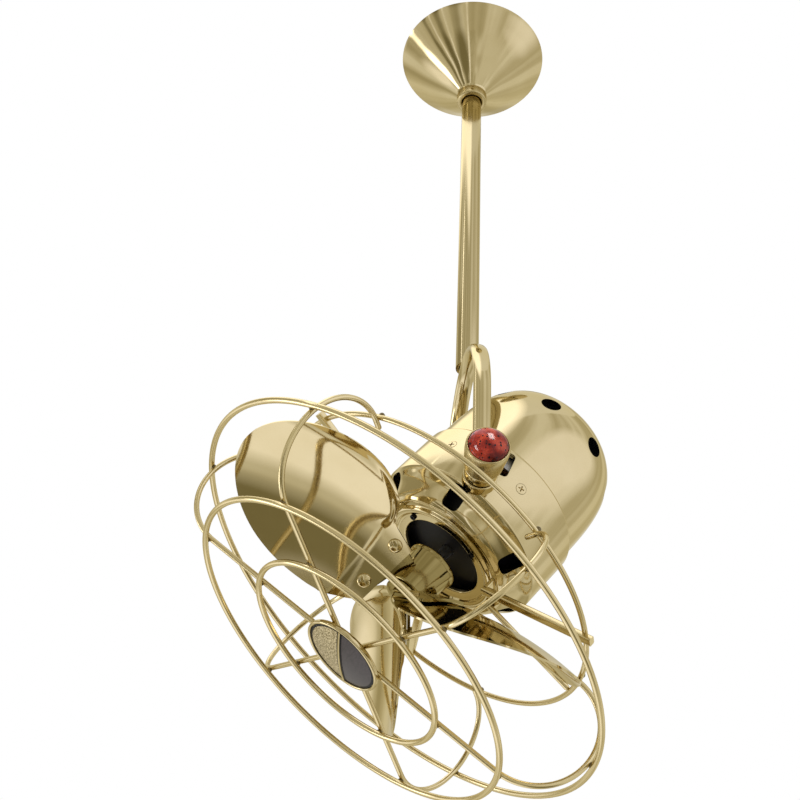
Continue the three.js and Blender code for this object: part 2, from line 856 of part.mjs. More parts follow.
function bearing(front) {
  const low = front
    ? shieldFace - shieldThickness / 2 - fitGap - bearingLength
    : rearShieldBack + shieldThickness / 2 + fitGap;
  const high = low + bearingLength;
  const inner = shaftRadius + weldGap;
  const groove = (bearingOuter + inner) / 2;
  const lip = (bearingOuter - inner) / 5;
  const outline = [
    [inner, low], [bearingOuter, low], [bearingOuter, high], [groove + lip, high],
    [groove + lip, high - lip / 2], [groove - lip, high - lip / 2], [groove - lip, high], [inner, high],
  ];
  return revolve(outline, 20);
}

function statorCore() {
  let body = solid(sleeve(statorOuter, statorInner, statorBack, statorFront, 24));
  for (let i = 0; i < statorSlotCount; i += 1) {
    const mouth = statorInner + statorTooth;
    const half = statorSlotWidth / 2;
    const back = statorBack - overrun;
    const slot = block(mouth, mouth + statorSlotDepth, -half, half, back, statorFront + overrun);
    slot.rotateZ((i * 360 * DEG) / statorSlotCount);
    body = body.subtract(solid(slot));
  }
  return geometryOf(body);
}

// End winding: one lobed ring with a lobe over each tooth
function endWinding(front) {
  const face = front ? statorFront + fitGap : statorBack - fitGap;
  const rise = front ? coilRise : -coilRise;
  const around = statorSlotCount * 2;
  const section = coilSides;
  const middle = (statorInner + coilInnerInset + statorOuter - coilOuterInset) / 2;
  const half = statorOuter - coilOuterInset - middle;
  const points = [];
  for (let i = 0; i < around; i += 1) {
    const angle = (i / around) * 360 * DEG;
    const lobe = 1 - coilLobeShare * (i % 2);
    for (let j = 0; j < section; j += 1) {
      const turn = ((j + 0.5) / section) * 360 * DEG;
      const r = middle + half * lobe * Math.cos(turn);
      const z = face + rise / 2 + (rise / 2) * (1 + lobe) / 2 * Math.sin(turn);
      points.push([r * Math.cos(angle), r * Math.sin(angle), z]);
    }
  }
  const index = [];
  for (let i = 0; i < around; i += 1) {
    for (let j = 0; j < section; j += 1) {
      const a = i * section + j;
      const b = i * section + ((j + 1) % section);
      const c = ((i + 1) % around) * section + ((j + 1) % section);
      const d = ((i + 1) % around) * section + j;
      index.push(a, b, c, a, c, d);
    }
  }
  const geometry = new THREE.BufferGeometry();
  geometry.setAttribute('position', new THREE.Float32BufferAttribute(points.flat(), 3));
  geometry.setIndex(index);
  return geometry;
}

function capacitor() {
  const low = rearShieldBack - fitGap - capacitorLength;
  const high = rearShieldBack - fitGap;
  const edge = capacitorRadius / 8;
  const outline = [
    [0, low], [capacitorRadius - edge, low], [capacitorRadius, low + edge],
    [capacitorRadius, high - edge], [capacitorRadius - edge, high], [0, high],
  ];
  const geometry = revolve(outline, 18);
  geometry.translate(0, capacitorInset - rearShieldRadius, 0);
  return geometry;
}

// Turning pieces

function shaft() {
  const front = hubFront + clampThickness + 5 * fitGap + hubNutHeight / 2;
  return rod(shaftRadius, shaftBack, front, 16);
}

function rotorCore() {
  const outer = statorInner - rotorGap;
  const inner = shaftRadius + weldGap;
  const ringInner = outer * rotorRingShare;
  const low = statorBack - rotorRingRise;
  const high = statorFront + rotorRingRise;
  const outline = [
    [inner, statorBack],
    [ringInner, statorBack],
    [ringInner, low],
    [outer, low],
    [outer, high],
    [ringInner, high],
    [ringInner, statorFront],
    [inner, statorFront],
  ];
  return revolve(outline, 20);
}

// Hub: a bell that narrows towards the arms and ends in a rounded nose
function hub() {
  const bore = shaftRadius + weldGap;
  const outline = [
    [bore, hubBack],
    ...arc(hubBackRadius - hubLip, hubBack + hubLip, hubLip, -90, 0, 1),
    ...arc(hubFrontRadius - hubNose, hubFront - hubNose, hubNose, 0, 90, 3),
    [bore, hubFront],
  ];
  return revolve(outline, 24);
}

function hubClamp() {
  const bore = shaftRadius + weldGap;
  const low = hubFront + fitGap;
  const high = low + clampThickness;
  const edge = clampThickness / 2;
  const outline = [
    [bore, low],
    ...arc(clampRadius - edge, low + edge, edge, -90, 90, 3),
    [bore, high],
  ];
  return revolve(outline, 24);
}

function hubNut() {
  const low = hubFront + 2 * fitGap + clampThickness;
  const bore = shaftRadius + weldGap;
  const depth = hubNutHeight / 2 + 4 * fitGap;
  const outline = [
    [bore, low],
    [hubNutRadius + hubNutFlange, low],
    [hubNutRadius + hubNutFlange, low + hubNutFlange],
    [hubNutRadius, low + hubNutFlange],
    ...arc(0, low + hubNutHeight - hubNutRadius, hubNutRadius, 0, 90, 3).slice(0, -1),
    [0, low + hubNutHeight],
    [0, low + depth],
    [bore, low + depth],
  ];
  return revolve(outline, 16);
}

const bladeMiddle = (bladeTip + bladeRoot) / 2;
const bladeHalfLength = (bladeTip - bladeRoot) / 2;

// The blade's pitch falls off towards the tip
function bladePitch(reach) {
  const share = (reach - bladeMiddle) / bladeHalfLength;
  return bladePitchAngle - bladeTwistAngle * share - bladeWashoutAngle * share ** 2;
}

// Height of the blade's curved sheet above its chord line: raked and bowed lengthwise, hollow across
function bladeHeight(reach, across) {
  const share = (reach - bladeMiddle) / bladeHalfLength;
  const lengthwise = bladePlane + bladeRake * share + bladeBow * share ** 2;
  return lengthwise + bladeHollow * ((across - bladeHollowOffset) / bladeHalfChord) ** 2;
}

// A point of the blade at a reach and a place across it, moved along the blade's own normal
function bladePoint(reach, across, lift) {
  const pitch = bladePitch(reach);
  const side = across * Math.cos(pitch) - lift * Math.sin(pitch);
  return [reach, side, bladeHeight(reach, across) + across * Math.sin(pitch) + lift * Math.cos(pitch)];
}

// Blade: a pressed sheet with a shallow dish inside a flat rim and root
function blade() {
  const layer = (lift) => bladeEdgeShares.map(([along, lead, trail]) => bladeColumnShares.map((column) => {
    const across = bladeHalfChord * (column * (lead + trail) - lead);
    const slant = bladeRootSlantShare * across * (1 - along) ** 2;
    const reach = bladeRoot + along * (bladeTip - bladeRoot) - slant;
    const onRim = column === 0 || column === 1 || along < bladeFoldShare || along === 1;
    return bladePoint(reach, across, onRim ? lift : lift + bladeDish);
  }));
  const sheet = solid(slab(layer(bladeThickness / 2), layer(-bladeThickness / 2)));
  const holes = [-1, 1].map((side) => {
    const pin = rod(rivetShank + 2 * fitGap, -rivetReach / 4, rivetReach / 4, 6);
    return solid(atRivet(pin, side));
  });
  return geometryOf(cut(sheet, ...holes));
}

// Moves a shape drawn about Z to a rivet's place, square to the blade
function atRivet(geometry, side) {
  const across = rivetOffset + side * rivetSpread;
  const reach = rivetReach - rivetSlantShare * (across - rivetOffset);
  const place = new THREE.Vector3(...bladePoint(reach, across, 0));
  const along = new THREE.Vector3(...bladePoint(reach + rivetHead, across, 0)).sub(place).normalize();
  const aside = new THREE.Vector3(...bladePoint(reach, across + rivetHead, 0)).sub(place);
  const square = along.clone().cross(aside).normalize();
  const turn = new THREE.Matrix4().makeBasis(along, square.clone().cross(along), square);
  return geometry.applyMatrix4(turn.setPosition(place));
}

const armLift = -(bladeThickness / 2 + armGap + armThickness / 2);

// Room for the hub: its outline, one seat wider, carried on past its front
function hubRoom() {
  const high = hubFront + hubNutHeight * 2;
  const outline = [
    [0, hubBack - hubLip],
    [hubBackRadius + weldGap, hubBack - hubLip],
    [hubBackRadius + weldGap, hubBack + hubLip],
    [hubFrontRadius + weldGap, hubFront - hubNose],
    [hubFrontRadius + weldGap, high],
    [0, high],
  ];
  return revolve(outline, 24);
}

// Blade arm: a plate behind the blade's root, seated on the hub's flank and riveted to the blade
function bladeArm() {
  const stations = [0, 0.2, 0.4, 0.6, 0.8].map((share) => armStart + share * (armEnd - armTip - armStart));
  stations.push(armEnd - armTip, armEnd);
  const columns = [0, 0.25, 0.5, 0.75, 1];
  const point = (reach, share, lift) => {
    const taper = reach >= armEnd ? armTipShare : 1;
    return bladePoint(reach, taper * (share * (armLead + armTrail) - armLead), armLift + lift);
  };
  const layer = (lift) => stations.map((reach) => columns.map((share) => point(reach, share, lift)));
  const strip = solid(slab(layer(armThickness / 2), layer(-armThickness / 2)));
  return geometryOf(join(cut(strip, solid(hubRoom())), bladeRivet(-1), bladeRivet(1)));
}

function bladeRivet(side) {
  const front = bladeThickness / 2 + armGap;
  const back = -(bladeThickness / 2 + armThickness + armGap / 2);
  const backHead = rivetHead * rivetBackShare;
  const outline = [
    [0, back - rivetRise / 2],
    [backHead, back - rivetRise / 2],
    [backHead, back],
    [rivetShank, back],
    [rivetShank, front],
    [rivetHead, front],
    [rivetHead * Math.SQRT1_2, front + rivetRise * Math.SQRT1_2],
    [0, front + rivetRise],
  ];
  return solid(atRivet(revolve(outline, 6), side));
}

// Cage

function cageRing(radius, wire, plane, segments) {
  const outline = arc(radius, plane, wire, 0, 360, 6).slice(0, -1);
  return revolve(outline, segments);
}

const frontRingPlane = ribPlane + ribWire + ringWire + weldGap;
const ribWaist = wideRingRadius - ringWire - ribWire - weldGap;
const ribBack = backRingPlane + backRingWire + ribWire + weldGap;
const ribSteps = 2 * ribBendSteps + 2;

// Rib line in the plane of the fan axis: straight spoke, two quarter ellipses and a short tail
class RibLine extends SteppedLine {
  getPoint(share) {
    const step = share * ribSteps;
    if (step <= 1) return new THREE.Vector3(ribStart + step * (ribBendStart - ribStart), 0, ribPlane);
    if (step <= 1 + ribBendSteps) {
      const angle = (90 * DEG * (step - 1)) / ribBendSteps;
      const r = ribBendStart + (ribWaist - ribBendStart) * Math.sin(angle);
      return new THREE.Vector3(r, 0, wideRingPlane + (ribPlane - wideRingPlane) * Math.cos(angle));
    }
    if (step <= 1 + 2 * ribBendSteps) {
      const angle = (90 * DEG * (step - 1 - ribBendSteps)) / ribBendSteps;
      const r = backRingRadius + (ribWaist - backRingRadius) * Math.cos(angle);
      return new THREE.Vector3(r, 0, wideRingPlane - (wideRingPlane - ribBack) * Math.sin(angle));
    }
    return new THREE.Vector3(backRingRadius - (step - ribSteps + 1) * ribTail, 0, ribBack);
  }
}

function cageRib() {
  return sweep(roundShape(ribWire, 6), new RibLine(), ribSteps);
}

const supportFoot = frontPlateRib + frontPlateRibWidth + supportFootRoom;

// Support bar: foot on the front plate, straight bar, saddle for the back ring
function supportBar(angle) {
  const footTop = frontPlateBack + frontPlateThickness + weldGap;
  const end = backRingRadius + supportOverhang;
  const shape = softRectangle(supportThickness, supportWidth, supportThickness / 4, 2);
  const bar = new THREE.ExtrudeGeometry(shape, { depth: end - supportFoot, bevelEnabled: false });
  bar.rotateY(90 * DEG);
  bar.translate(supportFoot, 0, supportPlane);
  const foot = block(
    supportFoot, supportFoot + supportFootLength, -supportWidth / 2, supportWidth / 2,
    footTop, supportPlane,
  );
  const bore = rod(supportBoreRadius, backRingPlane - supportWidth, supportPlane + supportWidth, 10);
  bore.translate(end - supportBoreInset, 0, 0);
  const parts = [bar, foot, bore];
  parts.forEach((part) => part.rotateZ(angle));
  return geometryOf(cut(join(solid(bar), solid(foot)), backRingGroove(), solid(bore)));
}

function cageStay(angle) {
  const from = new THREE.Vector3(supportFoot, 0, frontPlateBack + frontPlateThickness + stayWire + fitGap);
  const to = new THREE.Vector3(backRingRadius - backRingWire, 0, backRingPlane);
  const wire = sweep(roundShape(stayWire, 6), new THREE.LineCurve3(from, to), 1);
  wire.rotateZ(angle);
  return geometryOf(cut(solid(wire), backRingGroove()));
}

// The room that the back ring takes out of whatever is brazed to it
function backRingGroove() {
  return solid(cageRing(backRingRadius, backRingWire + weldGap, backRingPlane, backRingSegments));
}

function badgeCup() {
  const low = ribPlane + ribWire + weldGap;
  const high = low + badgeDepth;
  const edge = badgeRim / 2;
  const outline = [
    [0, low],
    [badgeRadius - edge * 2, low],
    [badgeRadius, low + edge * 2],
    ...arc(badgeRadius - edge, high - edge, edge, 0, 180, 2),
    [badgeRadius - badgeRim, low + badgeDepth / 2],
    [0, low + badgeDepth / 2],
  ];
  return revolve(outline, 28);
}

function badgeFace() {
  const low = ribPlane + ribWire + weldGap + badgeDepth / 2 + weldGap;
  const radius = badgeRadius - badgeRim - stoneClearance;
  const outline = [[0, low], [radius, low]];
  const steps = 4;
  for (let i = 0; i < steps; i += 1) {
    const share = i / steps;
    outline.push([radius * (1 - share), low + badgeDepth / 4 + badgeCrown * (1 - (1 - share) ** 2)]);
  }
  outline.push([0, low + badgeDepth / 4 + badgeCrown]);
  return revolve(outline, 24);
}

// Assembly

const fan = new THREE.Group();

fan.add(piece('ceiling_plate', ceilingPlate(), 'steel'));
fan.add(piece('plate_screw_left', plateScrew(-1), 'steel'));
fan.add(piece('plate_screw_right', plateScrew(1), 'steel'));
fan.add(piece('downrod', downrod(), 'brass'));
fan.add(piece('canopy', canopy(), 'brass'));
fan.add(piece('canopy_collar', canopyCollar(), 'brass'));
fan.add(piece('collar_screw', collarScrew(), 'steel'));

const pivot = new THREE.Group();
pivot.position.z = -pivotDrop;
fan.add(pivot);

pivot.add(piece('yoke', yoke(), 'brass'));
for (const [side, name] of [[-1, 'near'], [1, 'far']]) {
  pivot.add(piece(`pivot_washer_${name}`, pivotWasher(side), 'fibre'));
  pivot.add(piece(`knob_grip_${name}`, knobGrip(side), 'brass'));
  pivot.add(piece(`knob_stone_${name}`, knobStone(side), 'stone'));
}

const head = new THREE.Group();
head.rotation.y = -(90 + headTiltAngle) * DEG;
pivot.add(head);

head.add(piece('rear_dome', rearDome(), 'brass'));
head.add(piece('motor_band', motorBand(), 'brass'));
bandScrewAngles().forEach((angle, i) => head.add(piece(`band_screw_${i + 1}`, bandScrew(angle), 'brass')));
head.add(piece('front_plate', frontPlate(), 'brass'));
frontScrewAngles().forEach((angle, i) => {
  head.add(piece(`front_plate_screw_${i + 1}`, frontScrew(angle), 'black'));
});
head.add(piece('front_shield', frontShield(), 'black'));
head.add(piece('rear_shield', rearShield(), 'steel'));
head.add(piece('front_bearing', bearing(true), 'steel'));
head.add(piece('rear_bearing', bearing(false), 'steel'));
head.add(piece('stator_core', statorCore(), 'steel'));
head.add(piece('end_winding_front', endWinding(true), 'copper'));
head.add(piece('end_winding_rear', endWinding(false), 'copper'));
head.add(piece('run_capacitor', capacitor(), 'black'));

head.add(piece('cage_ring_small', cageRing(smallRingRadius, ringWire, frontRingPlane, 28), 'brass'));
head.add(piece('cage_ring_middle', cageRing(middleRingRadius, ringWire, frontRingPlane, 36), 'brass'));
head.add(piece('cage_ring_wide', cageRing(wideRingRadius, ringWire, wideRingPlane, 48), 'brass'));
const backRing = cageRing(backRingRadius, backRingWire, backRingPlane, backRingSegments);
head.add(piece('cage_ring_back', backRing, 'brass'));
for (let i = 0; i < ribCount; i += 1) {
  const rib = piece(`cage_rib_${i + 1}`, cageRib(), 'brass');
  rib.rotation.z = fromKnob(ribClockAngle + (i * 360) / ribCount);
  head.add(rib);
}
[supportFirstAngle, supportSecondAngle, supportThirdAngle].forEach((angle, i) => {
  head.add(piece(`cage_support_${i + 1}`, supportBar(fromKnob(angle)), 'brass'));
});
head.add(piece('cage_stay', cageStay(fromKnob(stayAngle)), 'brass'));
head.add(piece('badge_cup', badgeCup(), 'brass'));
head.add(piece('badge_face', badgeFace(), 'enamel'));

const rotor = new THREE.Group();
head.add(rotor);
rotor.add(piece('motor_shaft', shaft(), 'steel'));
rotor.add(piece('rotor_core', rotorCore(), 'steel'));
rotor.add(piece('hub', hub(), 'brass'));
rotor.add(piece('hub_clamp', hubClamp(), 'brass'));
rotor.add(piece('hub_nut', hubNut(), 'brass'));
for (let i = 0; i < bladeCount; i += 1) {
  const turned = new THREE.Group();
  turned.rotation.z = fromKnob(bladeClockAngle + (i * 360) / bladeCount);
  turned.add(piece(`blade_${i + 1}`, blade(), 'brass'));
  turned.add(piece(`blade_arm_${i + 1}`, bladeArm(), 'brass'));
  rotor.add(turned);
}

export default fan;
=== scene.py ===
"""Looks of the directional ceiling fan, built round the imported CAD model.

Sizes of the fan are millimetres and become metres when a mesh is made. The studio is in metres. Pieces of the
head are drawn in the head's own frame: local Z runs along the fan axis to the front, local -Y points to the
near tilt knob, and local X completes them.
"""

import json
from math import copysign, cos, pi, radians, sin, sqrt, tan, tau

import bmesh
import bpy
from mathutils import Matrix, Vector
from mathutils.bvhtree import BVHTree

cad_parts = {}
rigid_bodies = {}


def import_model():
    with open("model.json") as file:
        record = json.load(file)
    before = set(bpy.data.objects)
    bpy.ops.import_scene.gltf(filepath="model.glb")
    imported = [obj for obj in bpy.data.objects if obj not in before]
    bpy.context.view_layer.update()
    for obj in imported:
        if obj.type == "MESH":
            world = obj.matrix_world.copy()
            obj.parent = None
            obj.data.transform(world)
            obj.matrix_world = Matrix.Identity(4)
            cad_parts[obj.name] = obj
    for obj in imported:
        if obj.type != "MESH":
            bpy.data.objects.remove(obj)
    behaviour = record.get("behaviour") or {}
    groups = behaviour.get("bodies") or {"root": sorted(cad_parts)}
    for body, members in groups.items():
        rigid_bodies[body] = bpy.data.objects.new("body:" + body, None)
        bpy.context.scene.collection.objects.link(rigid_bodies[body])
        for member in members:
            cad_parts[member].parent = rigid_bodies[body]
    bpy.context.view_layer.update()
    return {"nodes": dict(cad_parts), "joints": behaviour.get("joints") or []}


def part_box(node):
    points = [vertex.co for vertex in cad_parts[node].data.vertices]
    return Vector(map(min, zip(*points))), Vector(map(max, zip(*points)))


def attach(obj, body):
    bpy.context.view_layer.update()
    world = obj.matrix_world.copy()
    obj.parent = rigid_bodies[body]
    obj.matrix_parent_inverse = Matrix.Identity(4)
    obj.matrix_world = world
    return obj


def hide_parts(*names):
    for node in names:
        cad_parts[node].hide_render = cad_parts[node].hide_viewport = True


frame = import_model()

MM = 0.001
joints = {joint["name"]: joint for joint in frame["joints"]}
PIVOT = Vector(joints["head_tilt"]["pos_m"])
FAN_AXIS = Vector(joints["rotor_spin"]["axis"]).normalized()
TILT_AXIS = Vector((0, 1, 0))
ORIGIN = Matrix.Identity(4)
AT_PIVOT = Matrix.Translation(PIVOT)
HEAD = AT_PIVOT @ Matrix((TILT_AXIS.cross(FAN_AXIS), TILT_AXIS, FAN_AXIS)).transposed().to_4x4()
SIDES = ((-1, "near"), (1, "far"))

# Clearances: FIT between pieces that touch on the real fan, GAP between pieces that can part
FIT = 0.12
GAP = 0.3
SHARP = 35

# Ceiling end and rod
ROD_RADIUS = 10.65
ROD_BORE = 8
ROD_ROUNDING = 0.4
ROD_EXIT_RADIUS = 5
ROD_EXIT_DROP = 40
ROD_CUT = 20
CANOPY_RADIUS = 80
CANOPY_HEIGHT = 61
CANOPY_GAP = 0.5
CANOPY_WALL = 1.4
CANOPY_LIP = 7
CANOPY_NECK = 0.4
CANOPY_BORE = ROD_RADIUS + 0.7
CANOPY_STEPS = 8
# Radius and drop of the bell as shares of its whole radius and height
CANOPY_SHARES = [(1, 0), (0.965, 0.045), (0.85, 0.2), (0.7, 0.4), (0.52, 0.615), (0.335, 0.82), (0.194, 1)]
COLLAR_RADIUS = 16.5
COLLAR_HEIGHT = 12
COLLAR_ROUNDING = 1.8

# Yoke and knobs
ARM_REACH = 91
ARM_WIDTH = 15
ARM_THICKNESS = 9
ARM_INSIDE = ARM_REACH - ARM_THICKNESS / 2
ARM_OUTSIDE = ARM_REACH + ARM_THICKNESS / 2
ARM_ROUNDNESS = 0.95
ARM_SIDES = 64
ARCH_RISE = 86
ARCH_STEPS = 48
EYE_RADIUS = 13.5
EYE_ROUNDING = 1.6
PIVOT_BORE = 4.3
STUD_RADIUS = 4
STUD_DEPTH = 9
KNOB_NECK = 14
KNOB_NECK_LENGTH = 3
KNOB_RADIUS = 17.8
KNOB_BASE_RADIUS = 15.6
KNOB_BEVEL = 1
KNOB_STRAIGHT = 7
KNOB_EDGE = 0.6
KNOB_DEPTH = 26
KNOB_WALL = 1.5
KNOB_SEAT_DEPTH = 5
STONE_RISE = 8.5
STONE_GAP = 0.25

# Head shells
BAND_RADIUS = 78
BAND_WALL = 2.4
BAND_BACK = -41
BAND_FRONT = 9
BAND_SHOULDER = 3
BAND_SHOULDER_END = -62
SEAM_GAP = 0.8
BOSS_RADIUS = 14
BOSS_BACK = 74.7
BOSS_FACE = 85
BOSS_ROUNDING = 1.2
BOSS_OVERLAP = 0.2
BOSS_CUT = (40, 95)
NOSE_RADIUS = 60
NOSE_FRONT = 33
# Inward and forward way of the nose as shares of its whole width and length
NOSE_SHARES = [(0, 0), (0.1, 0.05), (0.38, 0.42), (0.85, 0.78), (1, 1)]
SHELL_CLOCK = 5.5
SLOT_COUNT = 6
SLOT_LENGTH = 21
SLOT_WIDTH = 15.5
SLOT_CORNER = 5.2
SLOT_DEPTH = 18
SLOT_REACH = 70
SLOT_PLACE = 21.5
SLOT_LEAN = 45
SIDE_SLOT_WIDTH = 9
SIDE_SLOT_LENGTH = 24
SIDE_SLOT_CORNER = 4.4
SIDE_SLOT_DEPTH = 40
SIDE_SLOT_REACH = 75
SIDE_SLOT_BACK = -28
SIDE_SLOT_ASIDE = -7
SIDE_SLOT_LEAN = 16
SCREW_PLACE = -20.4
SCREW_TURNS = ((0, 27), (0, -27), (180, 27), (180, -27))
SCREW_HEAD = 4.6
SCREW_SHANK = 2
SCREW_START = 71
SCREW_NECK = 74
SCREW_TOP = BAND_RADIUS + 0.1
SCREW_EDGE = 0.8
SCREW_CROWN = 0.25
SCREW_HOLE = SCREW_HEAD + 0.15
SCREW_CUT = (70, 90)
# Width, length, corner and depth of the cuts in a screw's head
CROSS_CUT = (1.1, 5.4, 0, 2.4)
CROSS_TURNS = (20, 110)
DOME_RADIUS = 74.2
DOME_BACK = -148
DOME_SPRING = -44
DOME_SKIRT = -12
DOME_WALL = 2.2
DOME_ALONG = 3.76
DOME_ACROSS = 2.55
DOME_STEPS = 40
DOME_CROWDING = 0.8
# Height from which the inward faces of the dome get black as painted shade
DOME_SHADE_START = DOME_SKIRT - 2
VENT_COUNT = 8
VENT_RADIUS = 8.7
VENT_PLACE = -114
VENT_CUT = (25, 76)
PLATE_BACK = 29
PLATE_THICKNESS = 3.5
PLATE_FACE = PLATE_BACK + PLATE_THICKNESS
PLATE_LEDGE = 3
PLATE_HOLE = 37.5
PLATE_RADIUS = 57.3
PLATE_RIB = 49.2
PLATE_RIB_WIDTH = 4
PLATE_RIB_RISE = 2.2

# Hub and blades
HUB_BACK = 43.5
HUB_BACK_RADIUS = 22.5
HUB_RIM = 1.6
HUB_STEP = 0.9
HUB_FLARE = 4
HUB_FRONT = 80
HUB_FRONT_RADIUS = 17.5
HUB_NOSE = 3
HUB_NOSE_STEP = 1.5
HUB_NOSE_EDGE = HUB_FRONT - 1
SHAFT_RADIUS = 5
HUB_BORE = SHAFT_RADIUS + FIT
CLAMP_RADIUS = 16
CLAMP_THICKNESS = 4
CLAMP_ROUNDING = 1.6
NUT_RADIUS = 7
NUT_HEIGHT = 9
NUT_FLANGE = 2
NUT_ROOF = 1.2
ARM_PLATE = 2.4
ARM_START = 17
ARM_END = 46
ARM_LEAD = 20
ARM_TRAIL = 34
ARM_GAP = 0.7
ARM_CORNER = 6
BLADE_COUNT = 3
BLADE_CLOCK = 57.4
BLADE_PLANE = 73
BLADE_ROOT = 21
BLADE_TIP = 179.3
BLADE_MIDDLE = (BLADE_TIP + BLADE_ROOT) / 2
BLADE_HALF = (BLADE_TIP - BLADE_ROOT) / 2
BLADE_HALF_CHORD = 60
BLADE_SLANT = 0.18
BLADE_PITCH = 0.675
BLADE_TWIST = 0.17
BLADE_WASHOUT = 0.043
BLADE_BOW = 9.8
BLADE_RAKE = 7.75
BLADE_HOLLOW = 15.5
BLADE_HOLLOW_OFFSET = 5.2
BLADE_THICKNESS = 1.6
BLADE_FOLD = 9
DISH_DEPTH = 1.2
DISH_START = 51.5
DISH_SLANT = 0.39
DISH_CORNER = -14.3
DISH_RIM = 5
DISH_RIM_END = 150
DISH_RIM_FADE = 90
DISH_RIM_LEAST = 0.4
# Place along the blade, then its leading and trailing edge as shares of the half chord
BLADE_EDGES = [
    (0, 0.425, 0.55), (0.07, 0.41, 0.716), (0.164, 0.425, 0.888), (0.19, 0.5, 0.917), (0.253, 0.757, 0.978),
    (0.36, 0.955, 1.049), (0.474, 1.075, 1.083), (0.594, 1.097, 1.071), (0.708, 1.013, 1.006),
    (0.802, 0.855, 0.902), (0.878, 0.654, 0.771), (0.935, 0.438, 0.622), (0.973, 0.229, 0.463),
    (0.993, 0.04, 0.31), (1, -0.1, 0.18),
]
RIVET_REACH = 31.5
RIVET_OFFSET = 5.6
RIVET_SPREAD = 18.8
RIVET_SLANT = 0.255
RIVET_HEAD = 6
RIVET_EDGE = 0.5
RIVET_RISE = 3
RIVET_SHANK = 2.5
RIVET_TAIL = 4.8
RIVET_TAIL_LENGTH = 1.5

# Cage
RING_WIRE = 2.5
BACK_WIRE = 2.2
RIB_WIRE = 2.3
RIB_PLANE = 150
RING_PLANE = RIB_PLANE + RIB_WIRE + RING_WIRE + FIT
WIDE_RING = 200
WIDE_PLANE = 97.3
BACK_RING = 150
BACK_PLANE = 42
# Name, radius, wire radius and plane of each ring
RINGS = [
    ("small", 90.5, RING_WIRE, RING_PLANE), ("middle", 150.3, RING_WIRE, RING_PLANE),
    ("wide", WIDE_RING, RING_WIRE, WIDE_PLANE), ("back", BACK_RING, BACK_WIRE, BACK_PLANE),
]
RIB_COUNT = 6
RIB_CLOCK = 30
RIB_START = 22
RIB_BEND = 146
RIB_WAIST = WIDE_RING - RING_WIRE - RIB_WIRE - FIT
RIB_BACK = BACK_PLANE + BACK_WIRE + RIB_WIRE + FIT
RIB_TAIL = 8
BEND_STEPS = 24
BEAD_RADIUS = 2.5
BAR_ANGLES = (-69, 57, 180)
BAR_WIDTH = 7.5
BAR_THICKNESS = 5.6
BAR_ROUNDING = 1.4
BAR_PLANE = 44
BAR_REACHES = (53.4, 90, 120, 157)
BAR_FOOT = 3.8
BAR_FOOT_LOW = PLATE_FACE + 0.2
STAY_ANGLE = -101
STAY_START = 53
STAY_WIRE = 2.4

# Badge
BADGE_RADIUS = 35.2
BADGE_LOW = RIB_PLANE + RIB_WIRE + FIT
BADGE_DEPTH = 6
BADGE_RIM = 2.6
BADGE_FLOOR = BADGE_LOW + BADGE_DEPTH / 2
DISC_RADIUS = BADGE_RADIUS - BADGE_RIM - 0.25
DISC_SIDE = BADGE_DEPTH / 4
DISC_CROWN = 3
# Share of the disc's radius beyond which its edge is painted black as the groove's shade
DISC_GROOVE_SHADE = 0.965
DISC_SPLIT = 100
DIVIDER_REACH = BADGE_RADIUS - BADGE_RIM - 0.6
DIVIDER_SINK = 0.4
DIVIDER_STEPS = 40

# Studio, in metres and degrees
CAMERA_AT = (-0.1313, -0.9281, -1.2609)
CAMERA_AHEAD = Vector((0.05899, 0.77566, 0.62839))
CAMERA_UP = Vector((-0.10520, -0.62115, 0.77660))
CAMERA_LENS = 59.53
CAMERA_SENSOR = 36
FLOOR_LEVEL = -2.4
FLOOR_REACH = 40
WHITE = (1, 1, 1, 1)
SOFT_LIGHT = 0.85
WALL_RADIUS = 3.4
WALL_LOW = FLOOR_LEVEL + 0.02
WALL_HIGH = 4.5
WALL_MIDDLE = 0.01
WALL_SIDES = 64
WALL_STREAKS = (0.8, 0.8, 0.05)
WALL_TONES = [(0.36, 0.54), (0.48, 0.7), (0.64, 0.95)]
# Name, place, aim, size and power of the lamps on the fan
LAMPS = [
    ("key", (-1.8, -1.6, 0.4), (0, 0, -0.5), (1.2, 1.2), 20),
    ("low", (0.2, -1.0, -2.2), (0, 0, -0.6), (1.4, 1.0), 8),
]
# Name, turn and rise of the lamps that only light the stones
GLINTS = [("glint_left", -126, -5), ("glint_right", 165, 48)]
GLINT_AIM = (0, -0.11, PIVOT.z)
GLINT_SIZE = (0.36, 0.7)
GLINT_POWER = 17
CARD_AIM = Vector((0, 0, -0.6))
CARD_AWAY = 1.5
CARD_STEP = 0.015
CARD_SOFTNESS = 0.4
# Name, turn, rise, width, height and tone of the cards that the brass reflects
CARDS = [
    ("strip", -79, -12, 15, 50, 4.5), ("strip_high", -114, 40, 5, 44, 3.2), ("wing", -60, -6, 30, 44, 1.35),
    ("low_light", -42, -56, 76, 56, 1.35), ("streak_dark", -101, -22, 9, 60, 0.27),
    ("streak_light", -109, -24, 4, 56, 1.2), ("streak_deep", -119, -32, 15, 64, 0.22),
    ("streak_pale", -128, -34, 3, 60, 1.25), ("dark_canopy", -146, -44, 34, 70, 0.26),
    ("edge_light", -163, -38, 5, 60, 1.25), ("dark_side", -106, -42, 40, 24, 0.3),
    ("under_right", 125, -66, 70, 36, 0.2), ("right_light", 126, 14, 90, 50, 1.2),
    ("right_low", 120, -30, 90, 40, 0.85), ("left_high", -90, 30, 50, 26, 0.45),
    ("top_light", -100, 74, 90, 34, 2.0),
]


# Shapes


def around(count):
    """Evenly spread angles of a full turn."""
    return [360 / count * i for i in range(count)]


def arc(cx, cy, radius, start, end, steps):
    """Points of a circular arc, in degrees from start to end."""
    angles = [radians(start + (end - start) * i / steps) for i in range(steps + 1)]
    return [(cx + radius * cos(a), cy + radius * sin(a)) for a in angles]


